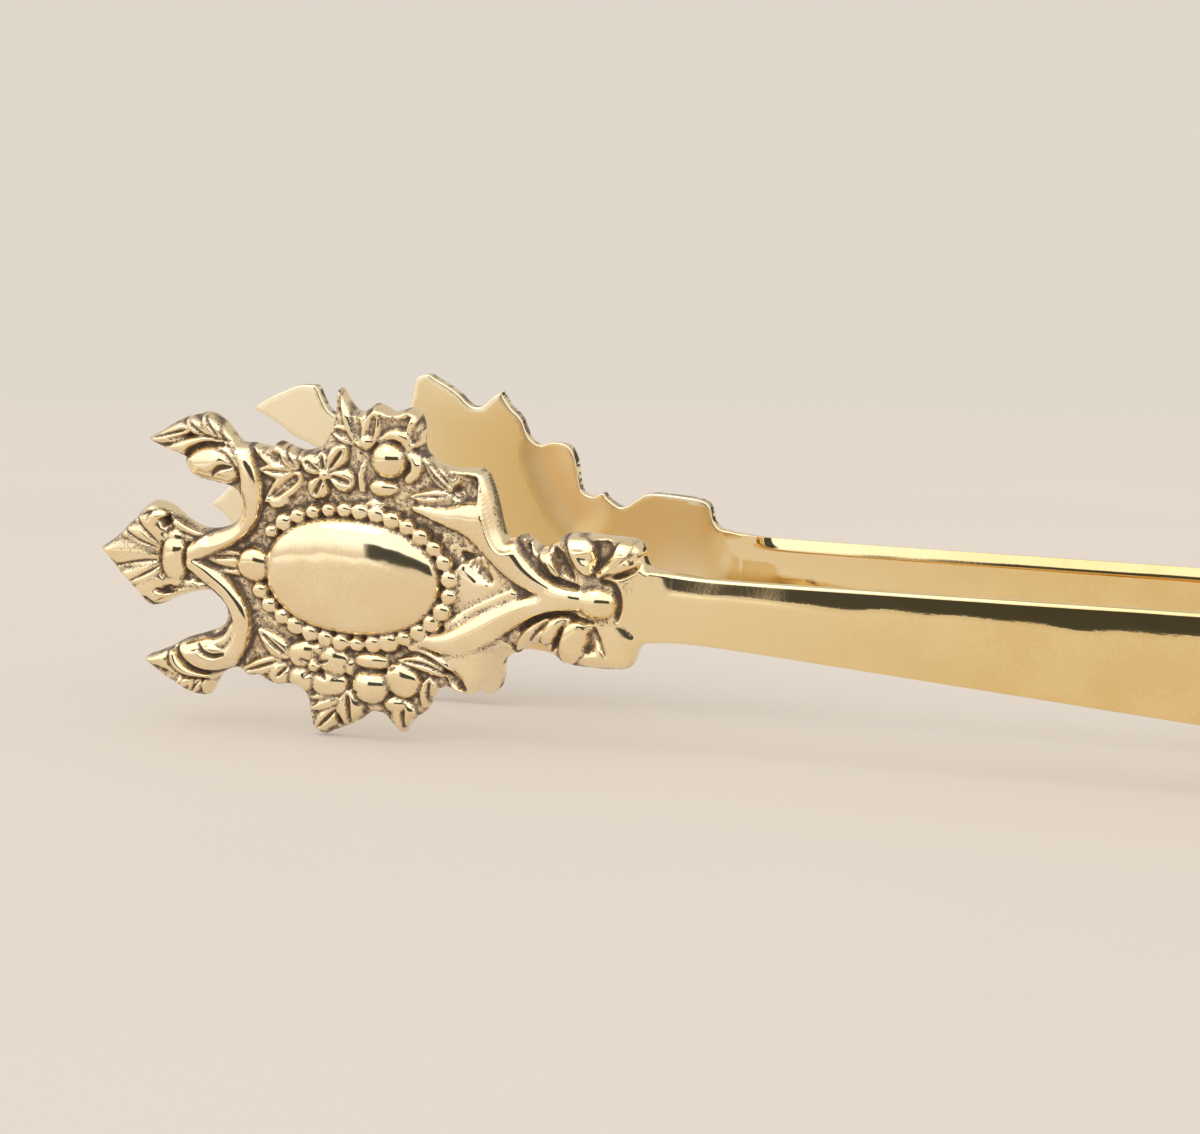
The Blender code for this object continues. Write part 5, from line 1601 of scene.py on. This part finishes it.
@dataclass
class Studio:
    """The floor that glows as a backdrop further out, the light and the camera."""

    floor_z: float
    # Floor, in metres, with the reach over which it turns into a backdrop
    floor_radius: float = 4.0
    floor_rings: int = 40
    floor_segments: int = 96
    floor_colour: Row = (0.749, 0.66, 0.574)
    floor_glow: float = 0.35
    backdrop_colour: Row = (0.752, 0.684, 0.604)
    backdrop_reach: Row = (0.3, 0.75)
    # Painted pool of light on the floor: glow colour, soft edges around in radians and reach in metres
    sheen: Row = (1.1, 1.07, 1.0)
    sheen_turn: tuple[Row, Row] = ((-1.4, -1.2), (-0.3, -0.36))
    sheen_reach: Row = (0.14, 0.42)
    # Light room: colours, with their soft edges around and upwards in degrees
    bright: Row = (1.32, 1.33, 1.33)
    bright_rise: Row = (4.0, 20.0)
    window: Row = (1.08, 1.05, 1.0)
    window_turn: tuple[Row, Row] = ((-80.0, -70.0), (-16.0, -18.0))
    window_rise: Row = (0.0, 12.0)
    rear: Row = (0.66, 0.62, 0.56)
    rear_turn: Row = (95.0, 130.0)
    dark: Row = (0.067, 0.066, 0.061)
    beige: Row = (0.78, 0.70, 0.60)
    # Dark openings: both edges around, then both edges upwards, in degrees
    openings: tuple[Row, ...] = ((-16.0, 62.0, -2.0, 19.0), (140.0, 176.0, -2.0, 15.0))
    # A negative softness turns an edge round, so that the opening ends there
    opening_soft: Row = (1.5, -4.0, 1.0, -1.5)
    # Camera, with its turn in degrees
    camera_place: Row = (0.06294, -0.3401, 0.06355)
    camera_turn: Row = (83.2407, -0.7548, 19.9615)
    lens: float = 90.0
    sensor: float = 36.0
    # Lamp overhead
    lamp_size: float = 0.9
    lamp_power: float = 2.5
    lamp_place: Row = (-0.6, -0.8, 1.5)

    def build(self) -> None:
        """Sets up the whole studio."""
        self.add_floor()
        self.add_world()
        self.add_lamp()
        self.add_camera()
        bpy.context.scene.view_settings.view_transform = "Standard"
        LOG.info("studio is set up on a floor at %.4f m", self.floor_z)

    def add_floor(self) -> None:
        """Adds the floor with its backdrop."""
        rings, count = np.linspace(0.02, self.floor_radius, self.floor_rings), self.floor_segments
        turn = np.arange(count) / count * 2.0 * math.pi
        spots = [(0.0, 0.0, self.floor_z)]
        spots += [(radius * math.cos(angle), radius * math.sin(angle), self.floor_z)
                  for radius in rings for angle in turn]
        faces = [(0, 1 + index, 1 + (index + 1) % count) for index in range(count)]
        for first in range(1, 1 + (len(rings) - 1) * count, count):
            for index in range(count):
                here, after = first + index, first + (index + 1) % count
                faces.append((here, here + count, after + count, after))
        mesh = bpy.data.meshes.new("studio_floor")
        mesh.from_pydata(spots, [], faces)
        mesh.polygons.foreach_set("use_smooth", [True] * len(mesh.polygons))
        floor = bpy.data.objects.new("studio_floor", mesh)
        bpy.context.scene.collection.objects.link(floor)
        floor.data.materials.append(self.floor_material())
        floor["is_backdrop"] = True

    def floor_material(self) -> bpy.types.Material:
        """Makes the floor's paper, which glows plainly as a backdrop further out and glows brighter in a painted
        pool of light to the left.

        Returns:
            The material.
        """
        made = bpy.data.materials.new("studio_paper")
        made.use_nodes = True
        made.node_tree.nodes.clear()
        sheet = ShaderSheet(made.node_tree)
        where = sheet.add("TexCoord").outputs["Object"]
        flat = sheet.add("VectorMath", {0: where}, operation="LENGTH").outputs["Value"]
        axes = sheet.add("SeparateXYZ", {0: where}).outputs
        around = sheet.math("ARCTAN2", axes[0], sheet.math("MULTIPLY", axes[1], -1.0))
        # Painted pool of light: a stretch of floor to the left that glows brighter, for the metal to reflect
        first, last = self.sheen_turn
        left = sheet.math("MULTIPLY", sheet.grade(around, *last), sheet.grade(around, *first))
        lit = sheet.math("MULTIPLY", left, sheet.grade(flat, *self.sheen_reach))
        away = sheet.math("MAXIMUM", sheet.grade(flat, *self.backdrop_reach, self.floor_glow), lit)
        cloud = sheet.grade(sheet.noise(9.0, 2.0, where), 0.3, 0.7)
        shade = [0.97 * part for part in self.floor_colour]
        tone = sheet.tint(cloud, (*self.floor_colour, 1.0), (*shade, 1.0))
        fibre = sheet.noise(900.0, 2.0, where)
        grain = sheet.add("Bump", {"Height": fibre, "Strength": 0.05, "Distance": MM}).outputs[0]
        paper = sheet.add("BsdfPrincipled", {"Base Color": tone, "Roughness": 0.75, "Normal": grain})
        # The glow turns to the painted pool of light where the floor is lit
        shine = sheet.tint(lit, (*self.backdrop_colour, 1.0), (*self.sheen, 1.0))
        glow = sheet.add("Emission", {"Color": shine, "Strength": 1.0})
        mix = sheet.add("MixShader", {"Fac": away, 1: paper.outputs[0], 2: glow.outputs[0]})
        sheet.add("OutputMaterial", {"Surface": mix.outputs[0]})
        return made

    def add_world(self) -> None:
        """Adds the light room: white above and to the left, with dark openings in front and behind."""
        world = bpy.data.worlds.new("light_room")
        bpy.context.scene.world = world
        world.use_nodes = True
        world.node_tree.nodes.clear()
        sheet = ShaderSheet(world.node_tree)
        axes = sheet.add("SeparateXYZ", {0: sheet.add("TexCoord").outputs["Generated"]}).outputs
        turned = sheet.math("ARCTAN2", axes[0], sheet.math("MULTIPLY", axes[1], -1.0))
        around = sheet.math("MULTIPLY", turned, 180.0 / math.pi)
        up = sheet.math("MULTIPLY", sheet.math("ARCSINE", axes[2]), 180.0 / math.pi)
        rear = sheet.grade(sheet.math("ABSOLUTE", around), *self.rear_turn)
        white = sheet.tint(rear, (*self.bright, 1.0), (*self.rear, 1.0))
        first, last = self.window_turn
        left = sheet.math("MULTIPLY", sheet.grade(around, *last), sheet.grade(around, *first))
        pane = sheet.math("MULTIPLY", left, sheet.grade(up, *self.window_rise))
        low = sheet.tint(pane, (*self.beige, 1.0), (*self.window, 1.0))
        colour = sheet.tint(sheet.grade(up, *self.bright_rise), low, white)
        for opening in self.openings:
            edges = [sheet.grade(value, edge - soft, edge + soft)
                     for value, edge, soft in zip((around, around, up, up), opening, self.opening_soft)]
            mask = edges[0]
            for edge in edges[1:]:
                mask = sheet.math("MULTIPLY", mask, edge)
            colour = sheet.tint(mask, colour, (*self.dark, 1.0))
        camera_ray = sheet.add("LightPath").outputs["Is Camera Ray"]
        seen = sheet.tint(camera_ray, colour, (*self.backdrop_colour, 1.0))
        light = sheet.add("Background", {"Color": seen, "Strength": 1.0})
        sheet.add("OutputWorld", {"Surface": light.outputs[0]})

    def add_lamp(self) -> None:
        """Adds the soft lamp overhead."""
        data = bpy.data.lights.new("soft_lamp", "AREA")
        data.shape = "DISK"
        data.size = self.lamp_size
        data.energy = self.lamp_power
        lamp = bpy.data.objects.new("soft_lamp", data)
        bpy.context.scene.collection.objects.link(lamp)
        lamp.location = self.lamp_place
        lamp.rotation_euler = (-Vector(self.lamp_place)).to_track_quat("-Z", "Y").to_euler()

    def add_camera(self) -> None:
        """Adds the camera from which the photo was taken."""
        data = bpy.data.cameras.new("photo_camera")
        data.lens = self.lens
        data.sensor_fit = "HORIZONTAL"
        data.sensor_width = self.sensor
        camera = bpy.data.objects.new("photo_camera", data)
        bpy.context.scene.collection.objects.link(camera)
        camera.location = self.camera_place
        camera.rotation_euler = [math.radians(angle) for angle in self.camera_turn]
        bpy.context.scene.camera = camera


@dataclass
class ServingTongs:
    """The whole pair of tongs."""

    grip_x: float = 34.0

    def blade(self, side: Side) -> Matrix:
        """Finds the frame of one side from its grip face and its hinge.

        Args:
            side: Side to find it for.

        Returns:
            The frame.
        """
        record = frame["record"]
        grip = next(mount for mount in record["mounts"] if mount["name"] == f"{side.value}_grip_face")
        hinge = next(joint for joint in record["behaviour"]["joints"] if joint["child"] == side.body)
        inward = Vector(grip["axis"]).normalized()
        along = inward.cross(-Vector(hinge["axis"])).normalized()
        across = along.cross(inward)
        turn = Matrix((along, inward, across)).transposed().to_4x4()
        return Matrix.Translation(Vector(grip["pos_m"]) - along * (self.grip_x * MM)) @ turn

    def build(self) -> None:
        """Builds and dresses every piece."""
        blades = {side: self.blade(side) for side in Side}
        spread = blades[Side.FRONT].col[0].xyz.angle(blades[Side.BACK].col[0].xyz) / 2
        section = ArmSection()
        head, arm, bow = HeadCasting(section), FormedArm(section), SpringBow()
        rivets = (Rivet("rear_rivet", 214.8), Rivet("fore_rivet", 202.8))
        casting, strip = head.mesh(), arm.mesh()
        groups = {"hand_polish": hand_polish_group(), "casting_patina": casting_patina_group(),
                  "neck_tone": neck_tone_group()}
        casting.materials.append(CAST_BRASS.material(groups))
        strip.materials.append(FORMED_BRASS.material(groups))
        band_brass, rivet_brass = SPRING_BRASS.material(groups), RIVET_BRASS.material(groups)
        for number, (side, blade) in enumerate(blades.items()):
            head.build(side, blade, casting)
            arm.build(side, blade, strip)
            bow.build(side, blade, spread).data.materials.append(band_brass)
            for index, rivet in enumerate(rivets):
                rivet.build(side, blade, 10 * number + index).data.materials.append(rivet_brass)


def main() -> None:
    """Builds the tongs and the studio, on a floor under the imported solids."""
    logging.basicConfig(level=logging.INFO, format="%(name)s: %(message)s")
    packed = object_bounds()
    ServingTongs().build()
    Studio(floor_z=packed[0][2]).build()


if __name__ == "__main__":
    main()
